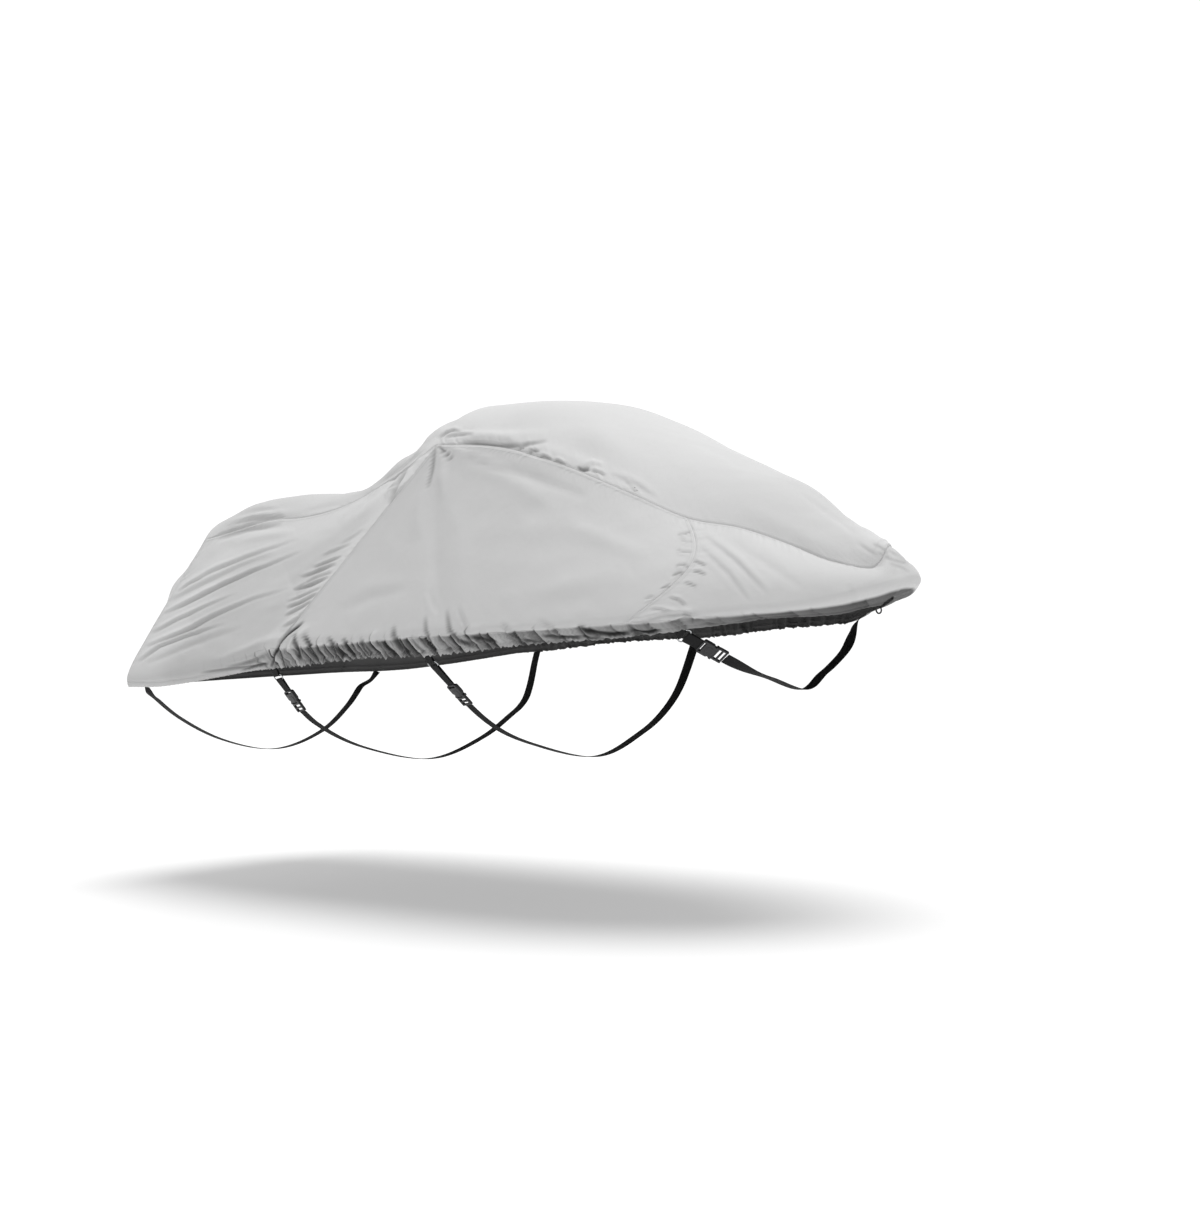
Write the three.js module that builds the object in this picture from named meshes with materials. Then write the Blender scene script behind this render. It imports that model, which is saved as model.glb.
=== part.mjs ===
// Fitted cloth cover with four under-straps, in millimetres.
// X runs to the nose, Y to port, Z up. The origin is under the crown of the top, on the centre line.
// Heights in the tables are taken from the level of the side fold, LIFT brings them to the origin.

import * as THREE from "three";

// Driving dimensions
const CLOTH = 2.5; // thickness of the cloth sheet
const SEAM_GAP = 0.3; // between two pieces that are sewn or touch
const LIFT = -704; // from fold level to the underside of the crown
const FILLET = 42; // length of cloth that rounds the side fold
const WEB_WIDTH = 38; // strap webbing
const WEB_THICK = 2.2;
const RING_WIRE = 4; // metal strap ring
const RING_BAR_GAP = 17; // between the two bars of a ring, centre to centre
const TAB_LENGTH = 20; // hem tab down to its ring
const SOCKET = { length: 50, width: 52, thick: 15 };
const PLUG = { length: 34, width: 50, thick: 12 };
const NOSE_RING = { radius: 9, wire: 3.6 };

const CLOTH_FINISH = new THREE.MeshStandardMaterial({ color: 0xc9cbcc, roughness: 0.9 });
const WEB_FINISH = new THREE.MeshStandardMaterial({ color: 0x18181a, roughness: 0.8 });
const BUCKLE_FINISH = new THREE.MeshStandardMaterial({ color: 0x202023, roughness: 0.5 });
const STEEL_FINISH = new THREE.MeshStandardMaterial({ color: 0xc6cacd, roughness: 0.25, metalness: 1 });
const RUBBER_FINISH = new THREE.MeshStandardMaterial({ color: 0x1b1b1c, roughness: 0.7 });

// Stations of the starboard side, tail to nose: a row is one line of cloth from the top seam to the side fold
// top: point on the top seam, fold: point on the side fold, belly: how far the cloth swells between them,
// drop and inset: the tuck from the fold to the hem
const STATIONS = [
  { top: [-1627, -250, 361], fold: [-1826, -490, -113], belly: 4, drop: 46, inset: 10 },
  { top: [-1300, -222, 407], fold: [-1560, -545, -108], belly: 12, drop: 48, inset: 20 },
  { top: [-1053, -220, 408], fold: [-1310, -577, -94], belly: 14, drop: 46, inset: 28 },
  { top: [-815, -222, 434], fold: [-1085, -591, -70], belly: 10, drop: 50, inset: 30 },
  { top: [-503, -262, 502], fold: [-890, -598, -44], belly: 4, drop: 58, inset: 32 },
  { top: [-106, -390, 578], fold: [-712, -602, -24], belly: 0, drop: 70, inset: 32 },
  { top: [137, -379, 556], fold: [-300, -604, -13], belly: 12, drop: 56, inset: 32 },
  { top: [387, -365, 492], fold: [80, -602, 0], belly: 20, drop: 62, inset: 34 },
  { top: [653, -330, 386], fold: [450, -578, 3], belly: 26, drop: 42, inset: 38 },
  { top: [840, -273, 298], fold: [800, -492, 13], belly: 30, drop: 40, inset: 44 },
  { top: [991, -221, 262], fold: [1020, -372, 21], belly: 30, drop: 26, inset: 52 },
  { top: [1114, -170, 213], fold: [1172, -284, 24], belly: 32, drop: 15, inset: 62 },
  { top: [1226, -113, 156], fold: [1290, -182, 35], belly: 35, drop: 26, inset: 72 },
  { top: [1314, -48, 132], fold: [1360, -90, 54], belly: 30, drop: 30, inset: 84 },
  { top: [1338, 0, 178], fold: [1386, 0, 74], belly: 10, drop: 46, inset: 92 },
];
const NOSE = STATIONS.length - 1; // station on the centre line
const LAST = 2 * NOSE; // port tail, the stations are mirrored past the nose
const PEAK = 5; // station where the top seam comes to a point
const BOW_SEAM = 9; // station where the seam at the front of the mid panel starts and ends
const BOW_SEAM_SWING = 0.5; // stations that this seam swings forward between its ends

// Heights that the fold and the tuck of the port half of the bow are drawn up above the starboard half, by station
const PORT_LIFTS = [
  { at: 9, lift: 0, tuck: 0 },
  { at: 10, lift: 14, tuck: 0 },
  { at: 11, lift: 23, tuck: 0 },
  { at: 12, lift: 27, tuck: 14 },
  { at: 13, lift: 17, tuck: 20 },
  { at: 14, lift: 0, tuck: 0 },
];

// Crown of the centre panel above its two edges, by place along the edge: the back counts down from 0 to the hem at -2
// rise and aft: how far the middle stands up and back, full: how square the shoulders are
const CROWNS = [
  { at: -2, rise: 0, aft: 70, full: 2.6 },
  { at: -1, rise: 4, aft: 95, full: 3.2 },
  { at: -0.45, rise: 14, aft: 122, full: 4.2 },
  { at: 0, rise: 70, aft: 72, full: 3.4 },
  { at: 0.5, rise: 100, aft: 18, full: 3 },
  { at: 1, rise: 101, aft: 0, full: 2.8 },
  { at: 2, rise: 82, aft: 0, full: 2.6 },
  { at: 3, rise: 78, aft: 0, full: 2.4 },
  { at: 4, rise: 112, aft: 0, full: 2.7 },
  { at: 4.6, rise: 126, aft: 0, full: 3.3 },
  { at: 5, rise: 131, aft: 0, full: 3.5 },
  { at: 6, rise: 143, aft: 0, full: 3.1 },
  { at: 7, rise: 157, aft: 0, full: 2.7 },
  { at: 8, rise: 154, aft: 0, full: 2.5 },
  { at: 9, rise: 154, aft: 0, full: 2.4 },
  { at: 10, rise: 121, aft: 0, full: 2.4 },
  { at: 11, rise: 86, aft: 0, full: 2.4 },
  { at: 12, rise: 84, aft: 0, full: 2.4 },
  { at: 13, rise: 68, aft: 0, full: 2.4 },
  { at: 13.6, rise: 24, aft: 0, full: 2.4 },
  { at: 14, rise: 0, aft: 0, full: 2.4 },
];

// Long folds of the side cloth, starboard then port: from and to are (station, share of the way down), depth is outward
const SIDE_FOLDS = [
  { from: [0.15, 0.3], to: [1.7, 0.22], width: 26, depth: 7 },
  { from: [0.1, 0.54], to: [1.9, 0.27], width: 30, depth: 10 },
  { from: [0.1, 0.75], to: [2.6, 0.55], width: 30, depth: 10 },
  { from: [0.2, 0.92], to: [1.9, 0.72], width: 28, depth: 8 },
  { from: [0.4, 0.12], to: [2.2, 0.09], width: 26, depth: -8 },
  { from: [3.6, 0.72], to: [4.6, 0.5], width: 22, depth: 7 },
  { from: [3.9, 0.86], to: [4.8, 0.62], width: 22, depth: 7 },
  { from: [3.5, 0.52], to: [4.4, 0.36], width: 22, depth: 5 },
  { from: [5.25, 0.1], to: [6.2, 0.8], width: 60, depth: 8 },
  { from: [5.2, 0.45], to: [5.7, 0.92], width: 34, depth: -7 },
  { from: [25.0, 0.5], to: [27.8, 0.74], width: 34, depth: 9 },
  { from: [25.8, 0.26], to: [27.8, 0.5], width: 30, depth: 8 },
  { from: [23.6, 0.6], to: [24.6, 0.84], width: 24, depth: 7 },
  { from: [21.8, 0.8], to: [22.75, 0.1], width: 60, depth: 8 },
  { from: [13.7, 0.12], to: [16.6, 0.12], width: 150, depth: 14 },
];

// Swells of the centre panel: row along the edge, share across (-1 starboard, 1 port), spread in mm, height outward
const CENTRE_SWELLS = [
  { row: -0.4, across: -0.8, spread: 70, height: 34 },
  { row: 0.35, across: -0.2, spread: 150, height: 9 },
  { row: 6.2, across: -0.62, spread: 90, height: 10 },
  { row: 7.3, across: -0.7, spread: 70, height: 8 },
  { row: 5.3, across: 0.55, spread: 110, height: 9 },
];

// Gathers where the elastic hem draws the cloth in, by station: pleats counted from the tail, and their depth
const GATHERS = [
  { at: 0, pleats: 0, depth: 1 },
  { at: 3, pleats: 4, depth: 3 },
  { at: 5, pleats: 9, depth: 6 },
  { at: 6, pleats: 15.5, depth: 11 },
  { at: 7.4, pleats: 24, depth: 10 },
  { at: 8.6, pleats: 30, depth: 6 },
  { at: 10, pleats: 34, depth: 2 },
  { at: 14, pleats: 42, depth: 1 },
];
const GATHER_START = 0.8; // share of the way down where the pleats begin

// Under-straps: hem_x is where the strap leaves the starboard hem, aim is where its fittings point,
// path runs on from them to the middle, upper is the short webbing above a buckle, 0 where no buckle shows
const STRAPS = [
  { name: "strap_tail", hem_x: -1650, upper: 0, aim: [-1672, -455, -205],
    path: [[-1661, -383, -270], [-1627, -226, -363], [-1611, 0, -415]] },
  { name: "strap_rear", hem_x: -775, upper: 42, aim: [-742, -470, -262],
    path: [[-735, -375, -322], [-720, -250, -378], [-698, 0, -432]] },
  { name: "strap_mid", hem_x: 25, upper: 74, aim: [60, -440, -226],
    path: [[74, -345, -300], [92, -230, -352], [124, 0, -408]] },
  { name: "strap_front", hem_x: 905, upper: 40, aim: [945, -262, -94],
    path: [[966, -170, -140], [980, -110, -162], [1005, 0, -200]] },
];

// Small vector helpers
const vec = (x, y, z) => new THREE.Vector3(x, y, z);
const mix = (a, b, t) => a.clone().lerp(b, t);
const clamp = (t, low, high) => Math.min(high, Math.max(low, t));
const smooth = (low, high, t) => {
  const u = clamp((t - low) / (high - low), 0, 1);
  return u * u * (3 - 2 * u);
};

// Cubic through four neighbours, a to b by t
function cubic(before, a, b, after, t) {
  const slopeA = (b - before) / 2;
  const slopeB = (after - a) / 2;
  const t2 = t * t;
  const t3 = t2 * t;
  return a * (2 * t3 - 3 * t2 + 1) + slopeA * (t3 - 2 * t2 + t) + b * (3 * t2 - 2 * t3) + slopeB * (t3 - t2);
}

// Straight interpolation in a table with an "at" column
function tabled(rows, at, column) {
  const high = clamp(rows.findIndex((row) => row.at >= at), 1, rows.length - 1);
  const below = rows[high - 1];
  const above = rows[high];
  const t = clamp((at - below.at) / (above.at - below.at), 0, 1);
  return below[column] + (above[column] - below[column]) * t;
}

// Smooth value of a station column, mirrored past the nose; corners holds the stations where it may turn sharply
function stationValue(q, read, flips, corners) {
  const value = (k) => {
    const row = STATIONS[k <= NOSE ? k : LAST - k];
    return read(row) * (flips && k > NOSE ? -1 : 1);
  };
  const low = clamp(Math.floor(q), 0, LAST - 1);
  const a = value(low);
  const b = value(low + 1);
  const before = low === 0 || corners.includes(low) ? 2 * a - b : value(low - 1);
  const after = low + 1 === LAST || corners.includes(low + 1) ? 2 * b - a : value(low + 2);
  return cubic(before, a, b, after, q - low);
}

const TOP_CORNERS = [PEAK, LAST - PEAK];
const AXES = [0, 1, 2];
const topSeam = (q) => vec(...AXES.map((i) => stationValue(q, (row) => row.top[i], i === 1, TOP_CORNERS)));
const portLift = (q, name) => (q > NOSE ? tabled(PORT_LIFTS, LAST - q, name) : 0);
const sideFold = (q) => vec(...AXES.map((i) => stationValue(q, (row) => row.fold[i], i === 1, [])))
  .add(vec(0, 0, portLift(q, "lift")));
const stationSize = (q, name) => stationValue(q, (row) => row[name], false, []);

// Outward direction of the plan of the side fold
function planOutward(q) {
  const ahead = sideFold(clamp(q + 0.05, 0, LAST));
  const behind = sideFold(clamp(q - 0.05, 0, LAST));
  return vec(ahead.y - behind.y, behind.x - ahead.x, 0).normalize();
}

// Smooth side cloth: v is 0 at the top seam, 1 at the side fold and 2 at the hem
function sideSmooth(q, v) {
  const top = topSeam(q);
  const fold = sideFold(q);
  const out = planOutward(q);
  const hem = fold.clone().addScaledVector(out, -stationSize(q, "inset"));
  hem.z += portLift(q, "tuck") - stationSize(q, "drop");
  const belly = stationSize(q, "belly");
  const swell = out.clone().setZ(0.6).normalize();
  const leg = (t) => (t <= 1
    ? mix(top, fold, t).addScaledVector(swell, belly * 4 * t * (1 - t))
    : mix(fold, hem, t - 1));
  const start = 1 - FILLET / top.distanceTo(fold);
  const end = 1.55;
  if (v <= start || v >= end) return leg(v);
  const t = (v - start) / (end - start);
  return leg(start)
    .multiplyScalar((1 - t) ** 2)
    .addScaledVector(fold, 2 * t * (1 - t))
    .addScaledVector(leg(end), t * t);
}

// Edge of the centre panel: from the tail hem (-2) up the back to 0, then along the top seam to the nose station
const centreEdge = (row, port) => (row < 0
  ? sideSmooth(port ? LAST : 0, -row)
  : topSeam(port ? LAST - row : row));

// Smooth centre panel, across is -1 on the starboard edge and 1 on the port edge
function centreSmooth(row, across) {
  const edge = mix(centreEdge(row, false), centreEdge(row, true), (across + 1) / 2);
  const share = 1 - Math.abs(across) ** tabled(CROWNS, row, "full");
  edge.z += tabled(CROWNS, row, "rise") * share;
  edge.x -= tabled(CROWNS, row, "aft") * share;
  return edge;
}

// Outward normal of a smooth surface by small steps in its two parameters
function normalOf(surface, a, b, aRange, bRange) {
  const step = 0.02;
  const da = surface(clamp(a + step, ...aRange), b).sub(surface(clamp(a - step, ...aRange), b));
  const db = surface(a, clamp(b + step, ...bRange)).sub(surface(a, clamp(b - step, ...bRange)));
  return db.cross(da).normalize();
}
const SIDE_RANGES = [[0, LAST], [0, 2]];
const CENTRE_RANGES = [[-2, NOSE - 0.04], [-1, 1]];
const sideNormal = (q, v) => normalOf(sideSmooth, q, v, ...SIDE_RANGES);
const centreNormal = (row, across) => normalOf(centreSmooth, row, across, ...CENTRE_RANGES).negate();

// Normal that both cloths share along a seam, so that their edges stay parallel, turned to one way round the nose
const TIP_NORMAL = vec(0.6, 0, 0.8);

function seamNormal(row, port) {
  const side = row < 0 ? sideNormal(port ? LAST : 0, -row) : sideNormal(port ? LAST - row : row, 0);
  const own = side.add(centreNormal(row, port ? 1 : -1)).normalize();
  return own.lerp(TIP_NORMAL, 0.85 * smooth(NOSE - 1.2, NOSE - 0.4, row)).normalize();
}

// Height of one long fold at a place on the side cloth
function foldHeight(fold, q, v) {
  const perStation = 215;
  const perShare = 560;
  const ax = (fold.to[0] - fold.from[0]) * perStation;
  const ay = (fold.to[1] - fold.from[1]) * perShare;
  const px = (q - fold.from[0]) * perStation;
  const py = (v - fold.from[1]) * perShare;
  const along = (px * ax + py * ay) / (ax * ax + ay * ay);
  const off = (px * ay - py * ax) / Math.hypot(ax, ay);
  const taper = smooth(-0.12, 0.25, along) * (1 - smooth(0.7, 1.15, along));
  return fold.depth * taper * Math.exp(-((off / fold.width) ** 2));
}

// Pleats by the hem, uneven in pitch and depth
function gatherHeight(q, v) {
  const s = q <= NOSE ? q : LAST - q + 0.37;
  const drift = 0.55 * Math.sin(2.3 * s + (q > NOSE ? 1.3 : 0)) + 0.3 * Math.sin(5.9 * s);
  const phase = tabled(GATHERS, s, "pleats") + drift;
  const wave = (0.5 + 0.5 * Math.cos(2 * Math.PI * phase)) ** 1.4 - 0.4;
  const uneven = 0.75 + 0.35 * Math.sin(3.7 * s + 0.6) * Math.sin(1.9 * s);
  const reach = smooth(GATHER_START + 0.05 * Math.sin(4.1 * s), 1.04, v);
  return tabled(GATHERS, s, "depth") * uneven * wave * reach;
}

// Station of a panel's seam at a share of the way down, mirrored past the nose
function seamStation(station, v) {
  const swing = BOW_SEAM_SWING * Math.sin(Math.PI * clamp(v, 0, 1) ** 0.85);
  if (station === BOW_SEAM) return station + swing;
  return station === LAST - BOW_SEAM ? station - swing : station;
}

// Everything that lifts the side cloth off its smooth form, fading to nothing at the panel's seams
function sideLift(q, v, panel) {
  const gather = gatherHeight(q, v);
  const folds = SIDE_FOLDS.reduce((sum, fold) => sum + foldHeight(fold, q, v), 0);
  const ends = smooth(0, 0.12, q - seamStation(panel.from, v)) * smooth(0, 0.12, seamStation(panel.to, v) - q);
  return (gather + folds * smooth(0, 0.05, v) * (1 - smooth(0.9, 1.1, v))) * ends;
}

function centreLift(row, across) {
  const edge = 1 - Math.abs(across) ** 6;
  const here = centreSmooth(row, across);
  return CENTRE_SWELLS.reduce((sum, swell) => {
    const middle = centreSmooth(swell.row, swell.across);
    return sum + swell.height * edge * Math.exp(-((here.distanceTo(middle) / swell.spread) ** 2));
  }, 0) * smooth(-2, -1.6, row) * (1 - smooth(NOSE - 1.5, NOSE, row));
}

// Step into the cloth from its seams: one for an edge, both for a corner
function edgeStep(point, steps) {
  if (steps.length === 0) return point;
  const sum = steps.reduce((total, step) => total.add(step), vec(0, 0, 0));
  const overlap = steps.length === 2 ? 1 + steps[0].dot(steps[1]) : 1;
  return point.addScaledVector(sum, SEAM_GAP / 2 / overlap);
}

// Closed solid from rows of outer points and normals; rows may differ in count, a row of one point closes to a tip
function sheetSolid(rows, flip) {
  const points = [];
  const triangles = [];
  const starts = [];
  rows.forEach((row) => {
    starts.push(points.length);
    row.forEach(({ outer, normal }) => points.push(outer, outer.clone().addScaledVector(normal, -CLOTH)));
  });
  const index = (r, i, inner) => starts[r] + 2 * i + (inner ? 1 : 0);
  const triangle = (a, b, c) => triangles.push(...(flip ? [a, c, b] : [a, b, c]));
  const wall = (a, b) => {
    triangle(b, a, a + 1);
    triangle(b, a + 1, b + 1);
  };
  for (let r = 0; r + 1 < rows.length; r += 1) {
    const countA = rows[r].length;
    const countB = rows[r + 1].length;
    let i = 0;
    let j = 0;
    while (i < countA - 1 || j < countB - 1) {
      const nextA = countA > 1 ? (i + 1) / (countA - 1) : 2;
      const nextB = countB > 1 ? (j + 1) / (countB - 1) : 2;
      const alongA = j === countB - 1 || (i < countA - 1 && nextA <= nextB + 1e-9);
      const corner = alongA ? [r, i + 1] : [r + 1, j + 1];
      const ids = [[r, i], corner, [r + 1, j]];
      triangle(...ids.map(([row, k]) => index(row, k, false)));
      triangle(...ids.reverse().map(([row, k]) => index(row, k, true)));
      if (alongA) i += 1;
      else j += 1;
    }
    wall(index(r + 1, 0, false), index(r, 0, false));
    wall(index(r, countA - 1, false), index(r + 1, countB - 1, false));
  }
  const end = rows.length - 1;
  for (let i = 0; i + 1 < rows[0].length; i += 1) {
    wall(index(0, i, false), index(0, i + 1, false));
  }
  for (let i = 0; i + 1 < rows[end].length; i += 1) {
    wall(index(end, i + 1, false), index(end, i, false));
  }
  return solidFrom(points, triangles);
}

function solidFrom(points, triangles) {
  const geometry = new THREE.BufferGeometry();
  const places = points.flatMap((p) => [p.x, p.y, p.z]);
  geometry.setAttribute("position", new THREE.Float32BufferAttribute(places, 3));
  geometry.setIndex(triangles);
  geometry.computeVertexNormals();
  return geometry;
}

// Rows of the side cloth, top seam to hem; the pleated band is finer along the hem
const SIDE_ROWS = [0, 0.12, 0.25, 0.38, 0.5, 0.62, 0.74, 0.86, 0.95, 1.05, 1.25, 1.6, 2];

const HEM_BAND = 0.8;
const SEAM_STEPS = 3; // points per station along the top seam, the same on both of its cloths

function sidePanel(panel) {
  const station = (t, v) => seamStation(panel.from, v) * (1 - t) + seamStation(panel.to, v) * t;
  const surface = (t, v) => sideSmooth(clamp(station(t, v), 0, LAST), clamp(v, 0, 2));
  const rows = SIDE_ROWS.map((v) => {
    const seamColumns = (panel.to - panel.from) * SEAM_STEPS;
    const columns = v === 0 ? seamColumns : v < HEM_BAND ? panel.columns : panel.hemColumns;
    return Array.from({ length: columns + 1 }, (_, i) => {
      const t = i / columns;
      const q = station(t, v);
      const onTail = q === 0 || q === LAST;
      const seam = onTail ? -v : Math.min(q, LAST - q);
      const normal = v === 0 || onTail ? seamNormal(seam, q > NOSE) : sideNormal(q, v);
      const outer = sideSmooth(q, v).addScaledVector(normal, sideLift(q, v, panel));
      const steps = [];
      if (v === 0) steps.push(inward(surface, t, v, normal, [0, 1]));
      if (i === 0) steps.push(inward(surface, t, v, normal, [1, 0]));
      if (i === columns) steps.push(inward(surface, t, v, normal, [-1, 0]));
      return { outer: edgeStep(outer, steps), normal };
    });
  });
  return sheetSolid(rows, true);
}

// Direction into the cloth across its edge: square to the edge and the normal, on the side that the step points to
function inward(surface, a, b, normal, way) {
  const step = 0.01;
  const within = surface(a + way[0] * step, b + way[1] * step).sub(surface(a, b));
  const [stepA, stepB] = way[0] === 0 ? [step, 0] : [0, step];
  const along = surface(a + stepA, b + stepB).sub(surface(a - stepA, b - stepB)).normalize();
  const across = along.cross(normal).normalize();
  return across.dot(within) < 0 ? across.negate() : across;
}

// Centre panel: tail hem, back, top and tongue
const CENTRE_COLUMNS = 8;

function centreRows() {
  const back = SIDE_ROWS.filter((v) => v > 0).reverse().map((v) => -v);
  const top = Array.from({ length: NOSE * SEAM_STEPS + 1 }, (_, i) => i / SEAM_STEPS);
  return [...back, ...top];
}

const tipSide = (a, b) => sideSmooth(clamp(a, 0, LAST), clamp(b, 0, 2));

function centrePanel() {
  const rows = centreRows().map((row) => {
    const tip = row >= NOSE;
    const columns = tip ? 0 : CENTRE_COLUMNS;
    return Array.from({ length: columns + 1 }, (_, i) => {
      const across = tip ? 0 : -Math.cos((Math.PI * i) / columns) * 0.55 + (-1 + (2 * i) / columns) * 0.45;
      const onEdge = i === 0 || i === columns;
      const normal = onEdge && !tip ? seamNormal(row, i > 0) : centreNormal(Math.min(row, NOSE - 0.06), across);
      if (tip) normal.copy(seamNormal(row, false));
      const outer = centreSmooth(row, across).addScaledVector(normal, centreLift(row, across));
      if (tip) return { outer: edgeStep(outer, [inward(tipSide, NOSE, 0, normal, [0, 1]).negate()]), normal };
      const surface = (a, b) => centreSmooth(clamp(a, -2, NOSE), clamp(b, -1, 1));
      const steps = onEdge ? [inward(surface, row, across, normal, [0, i === 0 ? 1 : -1])] : [];
      return { outer: edgeStep(outer, steps), normal };
    });
  });
  return sheetSolid(rows, true);
}

// Station where the starboard hem has a given X
function hemPlace(hemX) {
  let low = 0;
  let high = NOSE;
  for (let i = 0; i < 40; i += 1) {
    const q = (low + high) / 2;
    if (sideSmooth(q, 2).x < hemX) low = q;
    else high = q;
  }
  return low;
}

const PANELS = [
  { name: "rear_side_starboard", from: 0, to: PEAK, columns: 26, hemColumns: 26 },
  { name: "mid_side_starboard", from: PEAK, to: BOW_SEAM, columns: 20, hemColumns: 100 },
  { name: "bow_panel", from: BOW_SEAM, to: LAST - BOW_SEAM, columns: 44, hemColumns: 44 },
  { name: "mid_side_port", from: LAST - BOW_SEAM, to: LAST - PEAK, columns: 20, hemColumns: 100 },
  { name: "rear_side_port", from: LAST - PEAK, to: LAST, columns: 26, hemColumns: 26 },
];

// Middle of the hem's cut edge at a place
function hemMiddle(q) {
  const panel = PANELS.find((each) => q >= each.from && q <= each.to);
  return sideSmooth(q, 2).addScaledVector(sideNormal(q, 2), sideLift(q, 2, panel) - CLOTH / 2);
}

// Where a strap leaves the hem: just clear of the lowest cloth across the webbing, with the run of the hem there
function hemEdge(q) {
  const run = hemMiddle(q + 0.1).sub(hemMiddle(q - 0.1)).normalize();
  const down = sideSmooth(q, 2).sub(sideSmooth(q, 1.9)).normalize();
  down.addScaledVector(run, -down.dot(run)).normalize();
  const point = hemMiddle(q);
  const perStation = sideSmooth(q + 0.1, 2).distanceTo(sideSmooth(q - 0.1, 2)) / 0.2;
  const samples = Array.from({ length: 9 }, (_, i) => q + ((i - 4) / 4) * (WEB_WIDTH / 2 + 6) / perStation);
  const lowest = Math.max(...samples.map((each) => hemMiddle(each).sub(point).dot(down)));
  return { point: point.addScaledVector(down, lowest + SEAM_GAP), down, run };
}

// Frame with a given way along and a wanted way across; out is square to both, away from the inside
function squareFrame(point, along, across) {
  const square = across.clone().addScaledVector(along, -across.dot(along)).normalize();
  return { point, along, across: square, out: along.clone().cross(square).normalize() };
}

// Straight run of the fittings, from the tab's end toward the strap's aim
function fittingFrame(strap) {
  const edge = hemEdge(hemPlace(strap.hem_x));
  const point = edge.point.clone().addScaledVector(edge.down, TAB_LENGTH);
  return { edge, frame: squareFrame(point, vec(...strap.aim).sub(point).normalize(), edge.run) };
}

// Strap course: smooth curve from the fittings through the listed points and their mirror to the port hem
function strapCourse(strap, start, frame) {
  const far = hemEdge(LAST - hemPlace(strap.hem_x));
  const way = strap.path.map((p) => vec(...p));
  const back = [...way].reverse().slice(1).map((p) => vec(p.x, -p.y, p.z));
  const aim = vec(strap.aim[0], -strap.aim[1], strap.aim[2]);
  const lead = far.point.clone().addScaledVector(far.down, TAB_LENGTH);
  const first = inFrame(frame, 0, start, 0);
  const points = [first, inFrame(frame, 0, start + 12, 0), ...way, ...back, aim, lead, far.point];
  const curve = new THREE.CatmullRomCurve3(points, false, "centripetal");
  return { curve, length: curve.getLength(), near: frame.across, far: far.run.clone().negate() };
}

// Frame on a strap course at a distance from its start
function courseFrame(course, distance) {
  const u = clamp(distance / course.length, 0, 1);
  const turn = smooth(0.01, 0.2, u) * (1 - smooth(0.8, 0.98, u));
  const across = mix(u < 0.5 ? course.near : course.far, vec(1, 0, 0), turn);
  return squareFrame(course.curve.getPointAt(u), course.curve.getTangentAt(u), across);
}

const inFrame = (frame, across, along, out) => frame.point.clone()
  .addScaledVector(frame.across, across)
  .addScaledVector(frame.along, along)
  .addScaledVector(frame.out, out);

// Flat webbing through a list of frames
function webbing(frames) {
  const sides = [[-1, -1], [1, -1], [1, 1], [-1, 1]];
  const corner = (frame, [a, o]) => inFrame(frame, (a * WEB_WIDTH) / 2, 0, (o * WEB_THICK) / 2);
  const points = frames.flatMap((frame) => sides.map((side) => corner(frame, side)));
  const triangles = [];
  for (let i = 0; i + 1 < frames.length; i += 1) {
    for (let k = 0; k < 4; k += 1) {
      const a = 4 * i + k;
      const b = 4 * i + ((k + 1) % 4);
      triangles.push(a, b, b + 4, a, b + 4, a + 4);
    }
  }
  const end = 4 * (frames.length - 1);
  triangles.push(0, 2, 1, 0, 3, 2, end, end + 1, end + 2, end, end + 2, end + 3);
  return solidFrom(points, triangles);
}

const slideFrame = (frame, along) => ({ ...frame, point: inFrame(frame, 0, along, 0) });
const courseFrames = (course, pieces) => Array.from(
  { length: pieces + 1 },
  (_, i) => courseFrame(course, (course.length * i) / pieces),
);

// Prism from an outline in the webbing's plane, rounded thinner toward its faces
function plate(frame, outline, thick) {
  const levels = [[0.5, 0.94], [0.25, 1], [-0.25, 1], [-0.5, 0.94]];
  const points = levels.flatMap(([height, share]) => outline.map(([across, along]) => (
    inFrame(frame, across * share, along, height * thick)
  )));
  const count = outline.length;
  const triangles = [];
  for (let level = 0; level + 1 < levels.length; level += 1) {
    for (let k = 0; k < count; k += 1) {
      const a = level * count + k;
      const b = level * count + ((k + 1) % count);
      triangles.push(a, b, b + count, a, b + count, a + count);
    }
  }
  THREE.ShapeUtils.triangulateShape(outline.map((p) => new THREE.Vector2(...p)), []).forEach(([a, b, c]) => {
    triangles.push(a, c, b);
    const top = (levels.length - 1) * count;
    triangles.push(top + a, top + b, top + c);
  });
  return solidFrom(points, triangles);
}

// Ring of round wire along a closed loop of (across, along) points in a frame
function wireRing(frame, loop, wire, sides) {
  const points = [];
  const triangles = [];
  const count = loop.length;
  loop.forEach(([across, along], i) => {
    const [aheadX, aheadY] = loop[(i + 1) % count];
    const [backX, backY] = loop[(i + count - 1) % count];
    const size = Math.hypot(aheadX - backX, aheadY - backY);
    const side = [(aheadY - backY) / size, (backX - aheadX) / size];
    for (let k = 0; k < sides; k += 1) {
      const angle = (2 * Math.PI * k) / sides;
      const reach = (wire / 2) * Math.cos(angle);
      points.push(inFrame(frame, across + side[0] * reach, along + side[1] * reach, (wire / 2) * Math.sin(angle)));
    }
  });
  for (let i = 0; i < count; i += 1) {
    for (let k = 0; k < sides; k += 1) {
      const a = i * sides + k;
      const b = i * sides + ((k + 1) % sides);
      const c = ((i + 1) % count) * sides + k;
      const d = ((i + 1) % count) * sides + ((k + 1) % sides);
      triangles.push(a, d, c, a, b, d);
    }
  }
  return solidFrom(points, triangles);
}

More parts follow.
